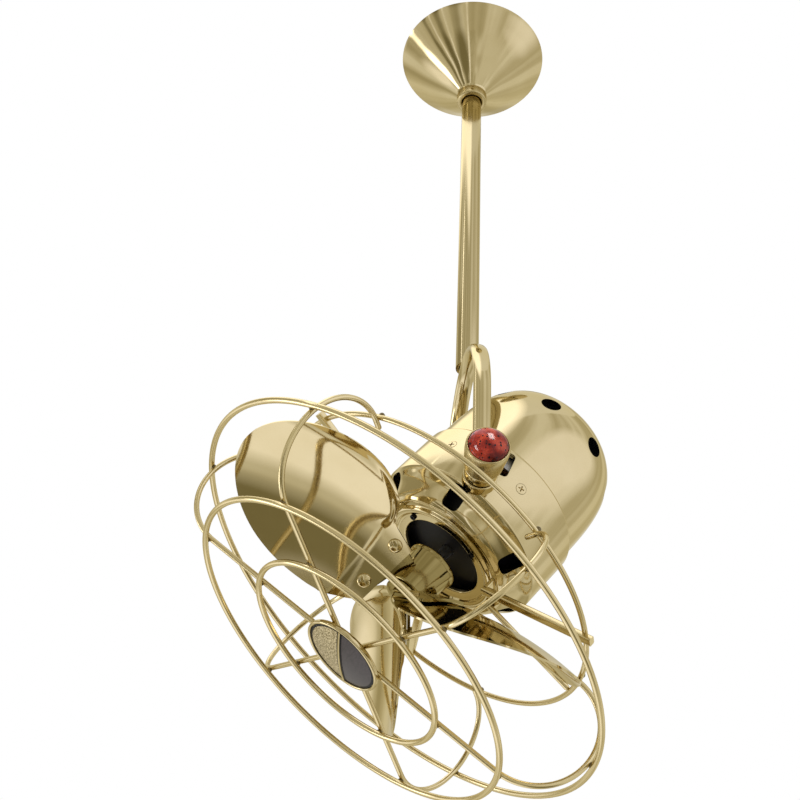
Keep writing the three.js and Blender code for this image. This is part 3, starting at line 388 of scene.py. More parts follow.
def crown(radius, base, rise, steps):
    """A quarter ellipse from the rim at the base height up to the axis."""
    turns = [pi / 2 * i / steps for i in range(steps)]
    return [(radius * cos(a), base + rise * sin(a)) for a in turns] + [(0, base + rise)]


def rectangle(half_x, half_y):
    return [(-half_x, -half_y), (half_x, -half_y), (half_x, half_y), (-half_x, half_y)]


def soften(points, radius=0, steps=4, most=0.48):
    """Rounds the corners of a closed outline; a point's third value, where given, is its own radius."""
    out = []
    for i, point in enumerate(points):
        own = point[2] if len(point) > 2 else radius
        here = Vector(point[:2])
        if own <= 0:
            out.append(tuple(here))
            continue
        before = Vector(points[i - 1][:2]) - here
        after = Vector(points[(i + 1) % len(points)][:2]) - here
        reach = min(own, before.length * most, after.length * most)
        first = here + before.normalized() * reach
        last = here + after.normalized() * reach
        for k in range(steps + 1):
            t = k / steps
            out.append(tuple(first * (1 - t) ** 2 + here * 2 * t * (1 - t) + last * t * t))
    return out


def ring_section(bore, radius, low, high, rounding, steps=4):
    return soften([(bore, low), (radius, low), (radius, high), (bore, high)], rounding, steps)


def flowing(points, steps=6):
    """A smooth line through the points."""
    ends = [2 * Vector(points[0]) - Vector(points[1])] + [Vector(p) for p in points]
    ends.append(2 * Vector(points[-1]) - Vector(points[-2]))
    out = []
    for i in range(1, len(ends) - 2):
        a, b, c, d = ends[i - 1 : i + 3]
        for k in range(steps):
            t = k / steps
            spot = 2 * b + (c - a) * t + (2 * a - 5 * b + 4 * c - d) * t**2
            out.append(0.5 * (spot + (3 * b - a - 3 * c + d) * t**3))
    out.append(ends[-2])
    return [tuple(p) for p in out]


def loft(rows, looped=False, capped=False):
    """Joins rows of points, each a closed loop or a single point, into one skin."""
    verts, rings = [], []
    for row in rows:
        rings.append(range(len(verts), len(verts) + len(row)))
        verts += row
    faces = []
    pairs = list(zip(rings, rings[1:]))
    if looped:
        pairs.append((rings[-1], rings[0]))
    for a, b in pairs:
        for i in range(max(len(a), len(b))):
            j = (i + 1) % max(len(a), len(b))
            if len(a) == 1 and len(b) > 1:
                faces.append((a[0], b[j], b[i]))
            elif len(b) == 1 and len(a) > 1:
                faces.append((a[i], a[j], b[0]))
            elif len(a) > 1:
                faces.append((a[i], a[j], b[j], b[i]))
    if capped:
        faces += [tuple(reversed(rings[0])), tuple(rings[-1])]
    return verts, faces


def lathe(outline, segments):
    """A closed outline of (radius, height) points turned about Z."""
    rows = []
    for r, z in outline:
        rows.append([(0, 0, z)] if r < 1e-6 else [(x, y, z) for x, y in arc(0, 0, r, 0, 360, segments)[:-1]])
    return loft(rows, looped=outline[0][0] > 1e-6)


# Way along the wire and size of the rings that round its end, as shares of its radius
TUBE_END = [(0, 0.6), (0.25, 0.9), (0.6, 1)]


def tube(points, radius, sides=20, looped=False):
    """Round wire along the points, with softly rounded ends where it isn't a loop."""
    line = [Vector(p) for p in points]
    count = len(line)
    ahead = [(line[(i + 1) % count] - line[i - 1]).normalized() for i in range(count)]
    if not looped:
        ahead[0] = (line[1] - line[0]).normalized()
        ahead[-1] = (line[-1] - line[-2]).normalized()
    across = ahead[0].orthogonal().normalized()
    rows = []
    for i, point in enumerate(line):
        across = (across - ahead[i] * across.dot(ahead[i])).normalized()
        other = ahead[i].cross(across)
        turns = [tau * k / sides for k in range(sides)]
        ring = [across * cos(a) + other * sin(a) for a in turns]
        steps = [(0, 1)]
        if not looped and i == 0:
            steps = TUBE_END
        if not looped and i == count - 1:
            steps = [(-shift, size) for shift, size in TUBE_END[::-1]]
        for shift, size in steps:
            rows.append([point + ahead[i] * shift * radius + d * radius * size for d in ring])
    return loft(rows, looped=looped, capped=not looped)


def ring_line(radius, plane, steps=160):
    """Points of a circle about the fan axis."""
    return [Vector((x, y, plane)) for x, y in arc(0, 0, radius, 0, 360, steps)[:-1]]


# Objects


def new_mesh(name, shape, place=ORIGIN):
    """A mesh object in metres from verts and faces in millimetres."""
    verts, faces = shape
    mesh = bpy.data.meshes.new(name)
    mesh.from_pydata([Vector(v) * MM for v in verts], [], faces)
    mesh.transform(place)
    made = bmesh.new()
    made.from_mesh(mesh)
    bmesh.ops.remove_doubles(made, verts=made.verts, dist=1e-7)
    bmesh.ops.recalc_face_normals(made, faces=made.faces)
    made.to_mesh(mesh)
    made.free()
    obj = bpy.data.objects.new(name, mesh)
    bpy.context.collection.objects.link(obj)
    return obj


def smooth(obj, angle=SHARP):
    """Smooth shading with sharp edges over the angle."""
    for polygon in obj.data.polygons:
        polygon.use_smooth = True
    obj.data.set_sharp_from_angle(angle=radians(angle))


def surface(mesh):
    """A mesh's faces with their own normals, its points, and a tree to search them."""
    corner = [Vector(n.vector) for n in mesh.corner_normals]
    faces = [(tuple(p.vertices), [corner[i] for i in p.loop_indices]) for p in mesh.polygons]
    points = [v.co.copy() for v in mesh.vertices]
    return BVHTree.FromPolygons(points, [verts for verts, _ in faces]), points, faces


def shade_as(cut, source, alike=0.9, near=0.3 * MM):
    """Gives a cut mesh the normals of the surface it came from, away from the cuts' own faces."""
    tree, points, faces = source
    normals = [Vector(n.vector) for n in cut.corner_normals]
    for polygon in cut.polygons:
        _, normal, index, distance = tree.find_nearest(polygon.center)
        if index is None or abs(normal.dot(polygon.normal)) < alike or distance > near:
            continue
        for i in polygon.loop_indices:
            spot, _, index, _ = tree.find_nearest(cut.vertices[cut.loops[i].vertex_index].co)
            verts, own = faces[index]
            weights = [1 / max((points[v] - spot).length, 1e-7) for v in verts]
            mixed = sum((n * w for n, w in zip(own, weights)), Vector()).normalized()
            if mixed.dot(polygon.normal) > alike:
                normals[i] = mixed
    cut.normals_split_custom_set(normals)


def carve(obj, cutters):
    """Cuts closed shapes out of a piece and keeps the piece's own curvature in its shading."""
    smooth(obj)
    source = surface(obj.data)
    for cutter in cutters:
        modifier = obj.modifiers.new("cut", "BOOLEAN")
        modifier.object = cutter
        modifier.solver = "EXACT"
    bpy.context.view_layer.update()
    cut = bpy.data.meshes.new_from_object(obj.evaluated_get(bpy.context.evaluated_depsgraph_get()))
    obj.modifiers.clear()
    obj.data = cut
    for cutter in cutters:
        bpy.data.objects.remove(cutter)
    smooth(obj)
    shade_as(cut, source)


def dress(obj, body, finish, stands_for=(), angle=SHARP, keep_normals=False):
    """Gives a piece its material and its body, and hides the CAD nodes it stands for."""
    if not keep_normals:
        smooth(obj, angle)
    material, slot = finish
    obj.data.materials.clear()
    obj.data.materials.append(material)
    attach(obj, body)
    if stands_for:
        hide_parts(*stands_for)
    return obj


def piece(name, shape, place, body, finish, stands_for=(), angle=SHARP):
    """A finished piece from a shape."""
    return dress(new_mesh(name, shape, place), body, finish, stands_for, angle)


def turned(degrees, axis):
    return Matrix.Rotation(radians(degrees), 4, axis)


def moved(x, y, z):
    return Matrix.Translation(Vector((x, y, z)) * MM)


def clock(degrees):
    """The head's frame turned so that local X points at an angle counted from the near knob."""
    return HEAD @ turned(degrees - 90, "Z")


def facing(place, side):
    """A frame whose local Z points out of the near side (-1) or the far side (+1) of another."""
    return place @ turned(-90 * side, "X")


def pointing_out(degrees, height):
    """A frame whose local Z points away from the fan axis at a clock angle and height."""
    return clock(degrees) @ moved(0, 0, height) @ turned(90, "Y")


def round_cutter(radius, low, high, place, segments=48):
    return new_mesh("cutter", lathe([(0, low), (radius, low), (radius, high), (0, high)], segments), place)


# Materials


def feed(tree, node, inputs):
    """Sets a node's inputs, or links those whose value is another node's output."""
    for name, value in inputs.items():
        if isinstance(value, bpy.types.NodeSocket):
            tree.links.new(value, node.inputs[name])
        else:
            node.inputs[name].default_value = value


def add(tree, kind, inputs, **settings):
    """A new shader node with its settings and inputs."""
    node = tree.nodes.new("ShaderNode" + kind)
    for name, value in settings.items():
        setattr(node, name, value)
    feed(tree, node, inputs)
    return node


def new_material(name):
    """A material with its node tree, its shader and the object's own coordinates."""
    material = bpy.data.materials.new(name)
    material.use_nodes = True
    tree = material.node_tree
    return material, tree, tree.nodes["Principled BSDF"], add(tree, "TexCoord", {}).outputs["Object"]


def noise(tree, place, scale, detail=4, stretch=None):
    if stretch:
        place = add(tree, "Mapping", {"Scale": stretch, "Vector": place}).outputs["Vector"]
    return add(tree, "TexNoise", {"Scale": scale, "Detail": detail, "Vector": place}).outputs["Fac"]


def ramp(tree, value, stops):
    """Colours from stops of position and colour."""
    node = add(tree, "ValToRGB", {"Fac": value})
    elements = node.color_ramp.elements
    for element, (position, color) in zip(elements, (stops[0], stops[-1])):
        element.position = position
        element.color = (*color, 1)
    for position, color in stops[1:-1]:
        elements.new(position).color = (*color, 1)
    return node.outputs["Color"]


def spread(tree, value, low, high):
    return add(tree, "MapRange", {"To Min": low, "To Max": high, "Value": value}).outputs["Result"]


def bump(tree, height, strength, distance, under=None):
    """Normals of a relief, its distance in millimetres, over those of a coarser one."""
    inputs = {"Strength": strength, "Distance": distance * MM, "Height": height}
    if under:
        inputs["Normal"] = under
    return add(tree, "Bump", inputs).outputs["Normal"]


def brass(name, low, high, wave=0.0, stretch=None, grain=0.02, share=(1, 1, 1)):
    """Lacquered brass: two close tones, cloudy roughness from low to high, and a slow polishing wave."""
    deep, pale = [tuple(value * part for value, part in zip(tone, share)) for tone in (BRASS_DEEP, BRASS)]
    material, tree, shader, place = new_material(name)
    slow = bump(tree, noise(tree, place, 22, 2, stretch), 0.25, wave) if wave else None
    feed(tree, shader, {
        "Base Color": ramp(tree, noise(tree, place, 30, 5, stretch), [(0.3, deep), (0.72, pale)]),
        "Roughness": spread(tree, noise(tree, place, 160, 5, stretch), low, high),
        "Metallic": 1,
        "Specular Tint": (0.86, 0.80, 0.62, 1),
        "Normal": bump(tree, noise(tree, place, 500, 3, stretch), grain, 0.03, slow),
    })
    return material, "polished_brass"


def sand_brass():
    """The badge's sand-cast half."""
    material, tree, shader, place = new_material("sand_brass")
    grain = noise(tree, place, 900, 6)
    feed(tree, shader, {
        "Base Color": ramp(tree, grain, [(0.4, (0.2, 0.155, 0.06)), (0.6, (0.66, 0.56, 0.33))]),
        "Roughness": spread(tree, grain, 0.55, 0.3),
        "Metallic": 1,
        "Normal": bump(tree, grain, 0.9, 0.5),
    })
    return material, "polished_brass"


def enamel():
    """The badge's dark half."""
    material, tree, shader, place = new_material("dark_enamel")
    cloud = noise(tree, place, 160, 5, (1, 1, 6))
    feed(tree, shader, {
        "Base Color": ramp(tree, cloud, [(0.3, (0.03, 0.022, 0.021)), (0.7, (0.055, 0.042, 0.041))]),
        "Roughness": spread(tree, cloud, 0.3, 0.45),
        "Metallic": 0.3,
        "Normal": bump(tree, noise(tree, place, 500), 0.15, 0.2),
    })
    return material, "dark_enamel"


SPECKLE = (0.012, 0.004, 0.006, 1)


def stone():
    """Red jasper: mottled reds with black speckles under a polish."""
    material, tree, shader, place = new_material("red_stone")
    cloud = noise(tree, place, 95, 6)
    patch = noise(tree, place, 140, 5)
    reds = [(0.34, (0.04, 0.003, 0.003)), (0.5, (0.17, 0.014, 0.008)), (0.66, (0.32, 0.045, 0.020))]
    cells = add(tree, "TexVoronoi", {"Scale": 330, "Randomness": 1, "Vector": place})
    spots = add(tree, "Math", {0: cells.outputs["Distance"], 1: patch}, operation="ADD")
    mask = ramp(tree, spots.outputs["Value"], [(0.73, (1, 1, 1)), (0.79, (0, 0, 0))])
    colours = {"Factor": mask, "A": ramp(tree, cloud, reds), "B": SPECKLE}
    speckled = add(tree, "Mix", colours, data_type="RGBA")
    feed(tree, shader, {
        "Base Color": speckled.outputs["Result"],
        "Roughness": spread(tree, cloud, 0.08, 0.16),
        "Specular IOR Level": 0.22,
        "Normal": bump(tree, patch, 0.05, 0.2),
    })
    return material, "red_stone"


def paint(name, slot, dark, pale, low, high, metallic=0.0, scale=60, shine=0.5):
    """Plain painted, drawn or moulded surface with fine cloud and grain."""
    material, tree, shader, place = new_material(name)
    cloud = noise(tree, place, scale, 5)
    feed(tree, shader, {
        "Base Color": ramp(tree, cloud, [(0.3, dark), (0.7, pale)]),
        "Roughness": spread(tree, cloud, low, high),
        "Metallic": metallic,
        "Specular IOR Level": shine,
        "Normal": bump(tree, noise(tree, place, scale * 12), 0.12, 0.1),
    })
    return material, slot


BRASS = (0.60, 0.505, 0.29)
BRASS_DEEP = (0.56, 0.465, 0.255)
SHELL = brass("shell_brass", 0.05, 0.11, wave=0.35)
DRAWN = brass("drawn_brass", 0.07, 0.14, wave=0.15, stretch=(1, 1, 0.15), share=(0.92, 0.92, 0.92))
# Lighter copy of the brass for the wires: painted light that stands in for their bright look
LIT_WIRE = brass("lit_wire_brass", 0.14, 0.2, grain=0.005, share=(1.12, 1.12, 1.12))
SHEET = brass("sheet_brass", 0.04, 0.09, wave=0.12)
TURNED = brass("turned_brass", 0.08, 0.14)
KNOB_BRASS = brass("knob_brass", 0.24, 0.32, share=(0.86, 0.84, 0.76))
# Darker copy of the brass for the hub, its plate and nut and the blade arms: painted shade
SHADED_HUB_BRASS = brass("shaded_hub_brass", 0.06, 0.12, share=(0.53, 0.5, 0.35))
SAND = sand_brass()
ENAMEL = enamel()
STONE = stone()
STEEL = paint("rolled_steel", "steel", (0.32, 0.32, 0.31), (0.45, 0.45, 0.44), 0.3, 0.45, 1.0)
BLACK_TONES = (0.0015, 0.0013, 0.002), (0.005, 0.004, 0.006)
BLACK = paint("black_paint", "black_paint", *BLACK_TONES, 0.3, 0.45, shine=0.12)
COPPER = paint("winding_copper", "copper_wire", (0.20, 0.08, 0.03), (0.35, 0.15, 0.06), 0.35, 0.5, 0.9, 200)
BRAZE = paint("braze", "polished_brass", (0.10, 0.075, 0.03), (0.22, 0.17, 0.08), 0.25, 0.4, 0.9, 200)
FIBRE = paint("washer_fibre", "fibre", (0.02, 0.02, 0.02), (0.05, 0.05, 0.05), 0.6, 0.8)


# Ceiling end


def make_canopy():
    top, low = -CANOPY_GAP, -CANOPY_GAP - CANOPY_HEIGHT
    flank = flowing([(r * CANOPY_RADIUS, top - z * CANOPY_HEIGHT) for r, z in CANOPY_SHARES], CANOPY_STEPS)
    half_step = CANOPY_STEPS // 2
    inner = [(r - CANOPY_WALL, z) for r, z in flank[half_step:-half_step]]
    floor = low - CANOPY_WALL
    neck = [(flank[-1][0] - CANOPY_NECK, floor), (CANOPY_BORE, floor), (CANOPY_BORE, low)]
    lip = [(CANOPY_RADIUS - CANOPY_LIP, top - CANOPY_WALL), (CANOPY_RADIUS - CANOPY_LIP, top)]
    piece("canopy_bell", lathe(flank + neck + inner[::-1] + lip, 160), ORIGIN, "canopy", SHELL, ["canopy"])


def make_collar():
    top = -CANOPY_GAP - CANOPY_HEIGHT - CANOPY_WALL - GAP
    outline = ring_section(ROD_RADIUS + GAP, COLLAR_RADIUS, top - COLLAR_HEIGHT, top, COLLAR_ROUNDING)
    piece("collar_ring", lathe(outline, 96), ORIGIN, "canopy", KNOB_BRASS, ["canopy_collar"])


def make_rod():
    low, high = (corner.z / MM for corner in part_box("downrod"))
    rod = new_mesh("rod_tube", lathe(ring_section(ROD_BORE, ROD_RADIUS, low, high, ROD_ROUNDING, 2), 64))
    arch = AT_PIVOT @ moved(0, 0, ARCH_RISE) @ turned(90, "Y")
    lead_exit = moved(0, 0, -ROD_EXIT_DROP) @ turned(90, "Y")
    carve(rod, [round_cutter(ARM_OUTSIDE + FIT, -ROD_CUT, ROD_CUT, arch, 192),
                round_cutter(ROD_EXIT_RADIUS, 0, ROD_CUT, lead_exit, 32)])
    dress(rod, "stand", DRAWN, ["downrod"], keep_normals=True)


# Yoke and knobs


def arm_section():
    """The bar's rounded section, as places across its width and its thickness."""
    def rounded(value):
        return copysign(abs(value) ** ARM_ROUNDNESS, value)

    turns = [tau * i / ARM_SIDES for i in range(ARM_SIDES)]
    return [(ARM_WIDTH / 2 * rounded(cos(a)), ARM_THICKNESS / 2 * rounded(sin(a))) for a in turns]


def arm_path():
    """Middle of the bar up one arm, over the arch and down the other, with the turn of its section."""
    path = [(-ARM_REACH, z, 0) for z in (0, ARCH_RISE / 2)]
    for i in range(ARCH_STEPS + 1):
        turn = pi * i / ARCH_STEPS
        path.append((-ARM_REACH * cos(turn), ARCH_RISE + ARM_REACH * sin(turn), turn))
    return path + [(ARM_REACH, z, pi) for z in (ARCH_RISE / 2, 0)]


def make_yoke():
    rows = []
    for y, z, turn in arm_path():
        out = Vector((0, -cos(turn), sin(turn)))
        rows.append([Vector((width, y, z)) + out * depth for width, depth in arm_section()])
    piece("yoke_bar", loft(rows, capped=True), AT_PIVOT, "stand", SHELL, ["yoke"])
    eye = lathe(ring_section(PIVOT_BORE, EYE_RADIUS, ARM_INSIDE, ARM_OUTSIDE, EYE_ROUNDING), 72)
    for side, name in SIDES:
        piece(f"yoke_eye_{name}", eye, facing(AT_PIVOT, side), "stand", TURNED)


def knob_section(base, neck, rim):
    """Stud, neck, tapered cup and the seat of the stone."""
    stud = BOSS_FACE - STUD_DEPTH
    inside = KNOB_RADIUS - KNOB_WALL
    seat = rim - KNOB_SEAT_DEPTH
    return soften([
        (0, stud), (STUD_RADIUS, stud), (STUD_RADIUS, base), (KNOB_NECK, base, 0.6), (KNOB_NECK, neck, 0.3),
        (KNOB_BASE_RADIUS - KNOB_BEVEL, neck, 0.3), (KNOB_BASE_RADIUS, neck + KNOB_BEVEL),
        (KNOB_RADIUS, rim - KNOB_STRAIGHT), (KNOB_RADIUS, rim - KNOB_BEVEL),
        (KNOB_RADIUS - KNOB_EDGE, rim, 0.5), (inside, rim, 0.4), (inside, seat), (0, seat)])


def make_knobs():
    base = ARM_OUTSIDE + GAP
    neck = base + KNOB_NECK_LENGTH
    rim = neck + KNOB_DEPTH
    cup = lathe(knob_section(base, neck, rim), 96)
    radius = KNOB_RADIUS - KNOB_WALL - STONE_GAP
    foot = rim - KNOB_SEAT_DEPTH + GAP
    dome = crown(radius, rim - KNOB_WALL, STONE_RISE + KNOB_WALL, 20)
    cabochon = lathe([(0, foot), (radius, foot)] + dome, 96)
    for side, name in SIDES:
        place, body = facing(AT_PIVOT, side), f"knob_{name}"
        piece(f"knob_cup_{name}", cup, place, body, KNOB_BRASS, [f"knob_grip_{name}"])
        piece(f"cabochon_{name}", cabochon, place, body, STONE, [f"knob_stone_{name}"])


# Head shells


def nose_line(inset):
    width, length = BAND_RADIUS - NOSE_RADIUS, NOSE_FRONT - BAND_FRONT
    return [(BAND_RADIUS - inset - width * inward, BAND_FRONT + length * along)
            for along, inward in NOSE_SHARES]


def slot_cutter(width, length, corner, depth, place):
    section = soften(rectangle(width / 2, length / 2), corner, 6)
    rows = [[(x, y, z) for x, y in section] for z in (-depth / 2, depth / 2)]
    return new_mesh("cutter", loft(rows, capped=True), place)


def side_slot(side, gap):
    """Cutter of the slot beside a tilt knob."""
    place = facing(HEAD, side) @ moved(SIDE_SLOT_ASIDE, -side * SIDE_SLOT_BACK, SIDE_SLOT_REACH)
    width, length = SIDE_SLOT_WIDTH + 2 * gap, SIDE_SLOT_LENGTH + 2 * gap
    lean = turned(-side * SIDE_SLOT_LEAN, "Z")
    return slot_cutter(width, length, SIDE_SLOT_CORNER, SIDE_SLOT_DEPTH, place @ lean)


def boss_cutters(radius, slot_gap):
    """Cutters of the two side slots and of the seats of the tilt bosses."""
    slots = [side_slot(side, slot_gap) for side, name in SIDES]
    return slots + [round_cutter(radius, *BOSS_CUT, facing(HEAD, side)) for side, name in SIDES]


def screw_angles():
    return [SHELL_CLOCK + middle + turn for middle, turn in SCREW_TURNS]


def band_section():
    """Back lip, inner wall, seat of the front plate, nose and shoulder."""
    lip, inside = DOME_RADIUS + SEAM_GAP, BAND_RADIUS - BAND_WALL
    mouth, seat = NOSE_RADIUS - BAND_WALL, PLATE_BACK - FIT
    ledge = mouth - PLATE_LEDGE
    shoulder = arc(BAND_RADIUS - BAND_SHOULDER, BAND_BACK, BAND_SHOULDER, 0, BAND_SHOULDER_END, 6)
    rim, *nose = flowing(nose_line(0))[::-1]
    bend = nose_line(BAND_WALL)[2]
    return soften([
        (lip, shoulder[-1][1], 0.3), (lip, BAND_BACK), (inside, BAND_BACK + BAND_SHOULDER),
        (inside, BAND_FRONT), bend, (ledge, PLATE_BACK - PLATE_LEDGE), (ledge, seat), (mouth, seat),
        (mouth, NOSE_FRONT, 0.5), (*rim, 0.6), *nose, *shoulder])


def make_band():
    band = new_mesh("head_band", lathe(band_section(), 192), HEAD)
    spot = moved(SLOT_REACH, 0, SLOT_PLACE) @ turned(SLOT_LEAN, "Y")
    cutters = [slot_cutter(SLOT_LENGTH, SLOT_WIDTH, SLOT_CORNER, SLOT_DEPTH, clock(SHELL_CLOCK + turn) @ spot)
               for turn in around(SLOT_COUNT)]
    cutters += boss_cutters(BOSS_RADIUS - BOSS_OVERLAP, 0)
    cutters += [round_cutter(SCREW_HOLE, *SCREW_CUT, pointing_out(turn, SCREW_PLACE))
                for turn in screw_angles()]
    carve(band, cutters)
    dress(band, "head", SHELL, ["motor_band"], keep_normals=True)
    boss = lathe(ring_section(PIVOT_BORE, BOSS_RADIUS, BOSS_BACK, BOSS_FACE, BOSS_ROUNDING), 72)
    for side, name in SIDES:
        piece(f"tilt_boss_{name}", boss, facing(HEAD, side), "head", TURNED)


def make_band_screws():
    outline = soften([
        (0, SCREW_START), (SCREW_SHANK, SCREW_START), (SCREW_SHANK, SCREW_NECK),
        (SCREW_HEAD, SCREW_TOP - SCREW_EDGE), (SCREW_HEAD, SCREW_TOP, 0.5), (0, SCREW_TOP + SCREW_CROWN)])
    for number, angle in enumerate(screw_angles(), 1):
        place = pointing_out(angle, SCREW_PLACE)
        top = place @ moved(0, 0, SCREW_TOP)
        screw = new_mesh(f"housing_screw_{number}", lathe(outline, 48), place)
        carve(screw, [slot_cutter(*CROSS_CUT, top @ turned(turn, "Z")) for turn in CROSS_TURNS])
        dress(screw, "head", TURNED, [f"band_screw_{number}"], keep_normals=True)


def dome_point(share, inset):
    across = (1 - share**DOME_ALONG) ** (1 / DOME_ACROSS) if share < 1 else 0
    return ((DOME_RADIUS - inset) * across, DOME_SPRING + (DOME_BACK + inset - DOME_SPRING) * share)


def make_dome():
    shares = [sin(pi / 2 * i / DOME_STEPS) ** DOME_CROWDING for i in range(DOME_STEPS + 1)]
    outer = [dome_point(share, 0) for share in shares]
    inner = [dome_point(share, DOME_WALL) for share in shares[::2]]
    skirt = [(DOME_RADIUS - DOME_WALL, DOME_SKIRT), (DOME_RADIUS, DOME_SKIRT)]
    dome = new_mesh("dome_shell", lathe(skirt + outer + inner[::-1], 160), HEAD)
    cutters = [round_cutter(VENT_RADIUS, *VENT_CUT, pointing_out(SHELL_CLOCK + turn, VENT_PLACE))
               for turn in around(VENT_COUNT)]
    carve(dome, cutters + boss_cutters(BOSS_RADIUS + GAP, GAP))
    dress(dome, "head", SHELL, ["rear_dome"], keep_normals=True)
    # Painted shade on the inside of the dome
    paint_shade_inside(dome)


def paint_shade_inside(dome):
    """Black on the faces that look inward, from a little behind the skirt's edge: painted shade, so that the
    vents show the dark inside of the brass dome.
    """
    dome.data.materials.append(BLACK[0])
    back = HEAD.inverted()
    for polygon in dome.data.polygons:
        at = back @ polygon.center / MM
        outward = Vector((at.x, at.y, min(0, at.z - DOME_SPRING)))
        if at.z < DOME_SHADE_START and outward.dot(back.to_3x3() @ polygon.normal) < 0:
            polygon.material_index = 1


def make_front_plate():
    half, top = PLATE_RIB_WIDTH / 2, PLATE_FACE + PLATE_RIB_RISE
    outline = soften([
        (PLATE_HOLE, PLATE_BACK), (PLATE_RADIUS, PLATE_BACK), (PLATE_RADIUS, PLATE_FACE),
        (PLATE_RIB + 2 * half, PLATE_FACE, 1.2), (PLATE_RIB + half, top, 1.6), (PLATE_RIB - half, top, 1.6),
        (PLATE_RIB - 2 * half, PLATE_FACE, 1.2), (PLATE_HOLE, PLATE_FACE, 1.6)], 0.4)
    piece("front_ring", lathe(outline, 160), HEAD, "head", SHELL, ["front_plate"])


# Turning pieces


def blade_point(reach, across, lift):
    """A point of the blade's curved sheet, moved along the sheet's own normal."""
    share = (reach - BLADE_MIDDLE) / BLADE_HALF
    pitch = BLADE_PITCH - BLADE_TWIST * share - BLADE_WASHOUT * share**2
    height = BLADE_PLANE + BLADE_RAKE * share + BLADE_BOW * share**2
    height += BLADE_HOLLOW * ((across - BLADE_HOLLOW_OFFSET) / BLADE_HALF_CHORD) ** 2
    side = across * cos(pitch) - lift * sin(pitch)
    return Vector((reach, side, height + across * sin(pitch) + lift * cos(pitch)))


def ease(value):
    """Soft step from 0 to 1."""
    step = min(1, max(0, value))
    return step * step * (3 - 2 * step)


def blade_dish(reach, across, lead):
    """Height of the pressed dish: it starts inside a narrow rim and past the flange at the root."""
    flange = DISH_START - DISH_SLANT * max(0, across - DISH_CORNER)
    rim = DISH_RIM * ease((DISH_RIM_END - reach) / DISH_RIM_FADE)
    edge = ease((across + lead - rim) / BLADE_FOLD) if rim > DISH_RIM_LEAST else 1
    edge += (1 - edge) * (1 - rim / DISH_RIM)
    return DISH_DEPTH * edge * ease((reach - flange) / BLADE_FOLD)


def blade_shape(columns=56):
    half = BLADE_THICKNESS / 2
    rows = []
    for along, lead, trail in flowing(BLADE_EDGES, 7):
        lead, trail = lead * BLADE_HALF_CHORD, trail * BLADE_HALF_CHORD
        front, back = [], []
        for i in range(columns + 1):
            across = (trail - lead) / 2 - (trail + lead - half) / 2 * cos(pi * i / columns)
            reach = BLADE_ROOT + along * (BLADE_TIP - BLADE_ROOT) - BLADE_SLANT * across * (1 - along) ** 2
            dish = blade_dish(reach, across, lead)
            front.append(blade_point(reach, across, dish + half))
            back.append(blade_point(reach, across, dish - half))
        rows.append(front + back[::-1])
    return loft(rows, capped=True)


def arm_shape(steps=32, columns=30):
    """A plate with rounded corners behind the blade's root."""
    half = ARM_PLATE / 2
    lift = -(BLADE_THICKNESS / 2 + ARM_GAP + half)
    rows = []
    for i in range(steps + 1):
        reach = ARM_START + (ARM_END - ARM_START) * i / steps
        bend = max(0, (reach - ARM_END + ARM_CORNER) / ARM_CORNER)
        corner = ARM_CORNER * (1 - sqrt(max(0, 1 - bend**2)))
        low, high = corner - ARM_LEAD, ARM_TRAIL - corner
        wide = [low + (high - low) * k / columns for k in range(columns + 1)]
        front = [blade_point(reach, across, lift + half) for across in wide]
        back = [blade_point(reach, across, lift - half) for across in wide]
        rows.append(front + back[::-1])
    return loft(rows, capped=True)


def rivet_place(side):
    """Frame of a rivet, its local Z square to the blade."""
    across = RIVET_OFFSET + side * RIVET_SPREAD
    reach = RIVET_REACH - RIVET_SLANT * (across - RIVET_OFFSET)
    spot = blade_point(reach, across, 0)
    along = (blade_point(reach + RIVET_HEAD, across, 0) - spot).normalized()
    aside = blade_point(reach, across + RIVET_HEAD, 0) - spot
    square = along.cross(aside).normalized()
    return Matrix.Translation(spot * MM) @ Matrix((along, square.cross(along), square)).transposed().to_4x4()


def rivet_shape():
    front = BLADE_THICKNESS / 2
    back = -(front + ARM_PLATE + ARM_GAP)
    outline = [(0, back - RIVET_TAIL_LENGTH), (RIVET_TAIL, back - RIVET_TAIL_LENGTH), (RIVET_TAIL, back),
               (RIVET_SHANK, back), (RIVET_SHANK, front), (RIVET_HEAD, front)]
    return lathe(outline + crown(RIVET_HEAD, front + RIVET_EDGE, RIVET_RISE - RIVET_EDGE, 12), 48)


def make_blades():
    for number, turn in enumerate(around(BLADE_COUNT), 1):
        place = clock(BLADE_CLOCK + turn)
        piece(f"paddle_{number}", blade_shape(), place, "rotor", SHEET, [f"blade_{number}"], angle=50)
        piece(f"paddle_arm_{number}", arm_shape(), place, "rotor", SHADED_HUB_BRASS, [f"blade_arm_{number}"])
        for side, letter in ((-1, "a"), (1, "b")):
            piece(f"rivet_{number}_{letter}", rivet_shape(), place @ rivet_place(side), "rotor", TURNED)


def make_hub():
    outline = soften([
        (HUB_BORE, HUB_BACK), (HUB_BACK_RADIUS, HUB_BACK, 0.8), (HUB_BACK_RADIUS, HUB_BACK + HUB_RIM, 1),
        (HUB_BACK_RADIUS - HUB_STEP, HUB_BACK + HUB_FLARE, 2), (HUB_FRONT_RADIUS, HUB_NOSE_EDGE, HUB_NOSE),
        (HUB_FRONT_RADIUS - HUB_NOSE_STEP, HUB_FRONT, HUB_NOSE), (HUB_BORE, HUB_FRONT)], 0, 6)
    piece("hub_body", lathe(outline, 128), HEAD, "rotor", SHADED_HUB_BRASS, ["hub"])
    low = HUB_FRONT + GAP
    outline = ring_section(HUB_BORE, CLAMP_RADIUS, low, low + CLAMP_THICKNESS, CLAMP_ROUNDING, 6)
    piece("hub_plate", lathe(outline, 128), HEAD, "rotor", SHADED_HUB_BRASS, ["hub_clamp"])


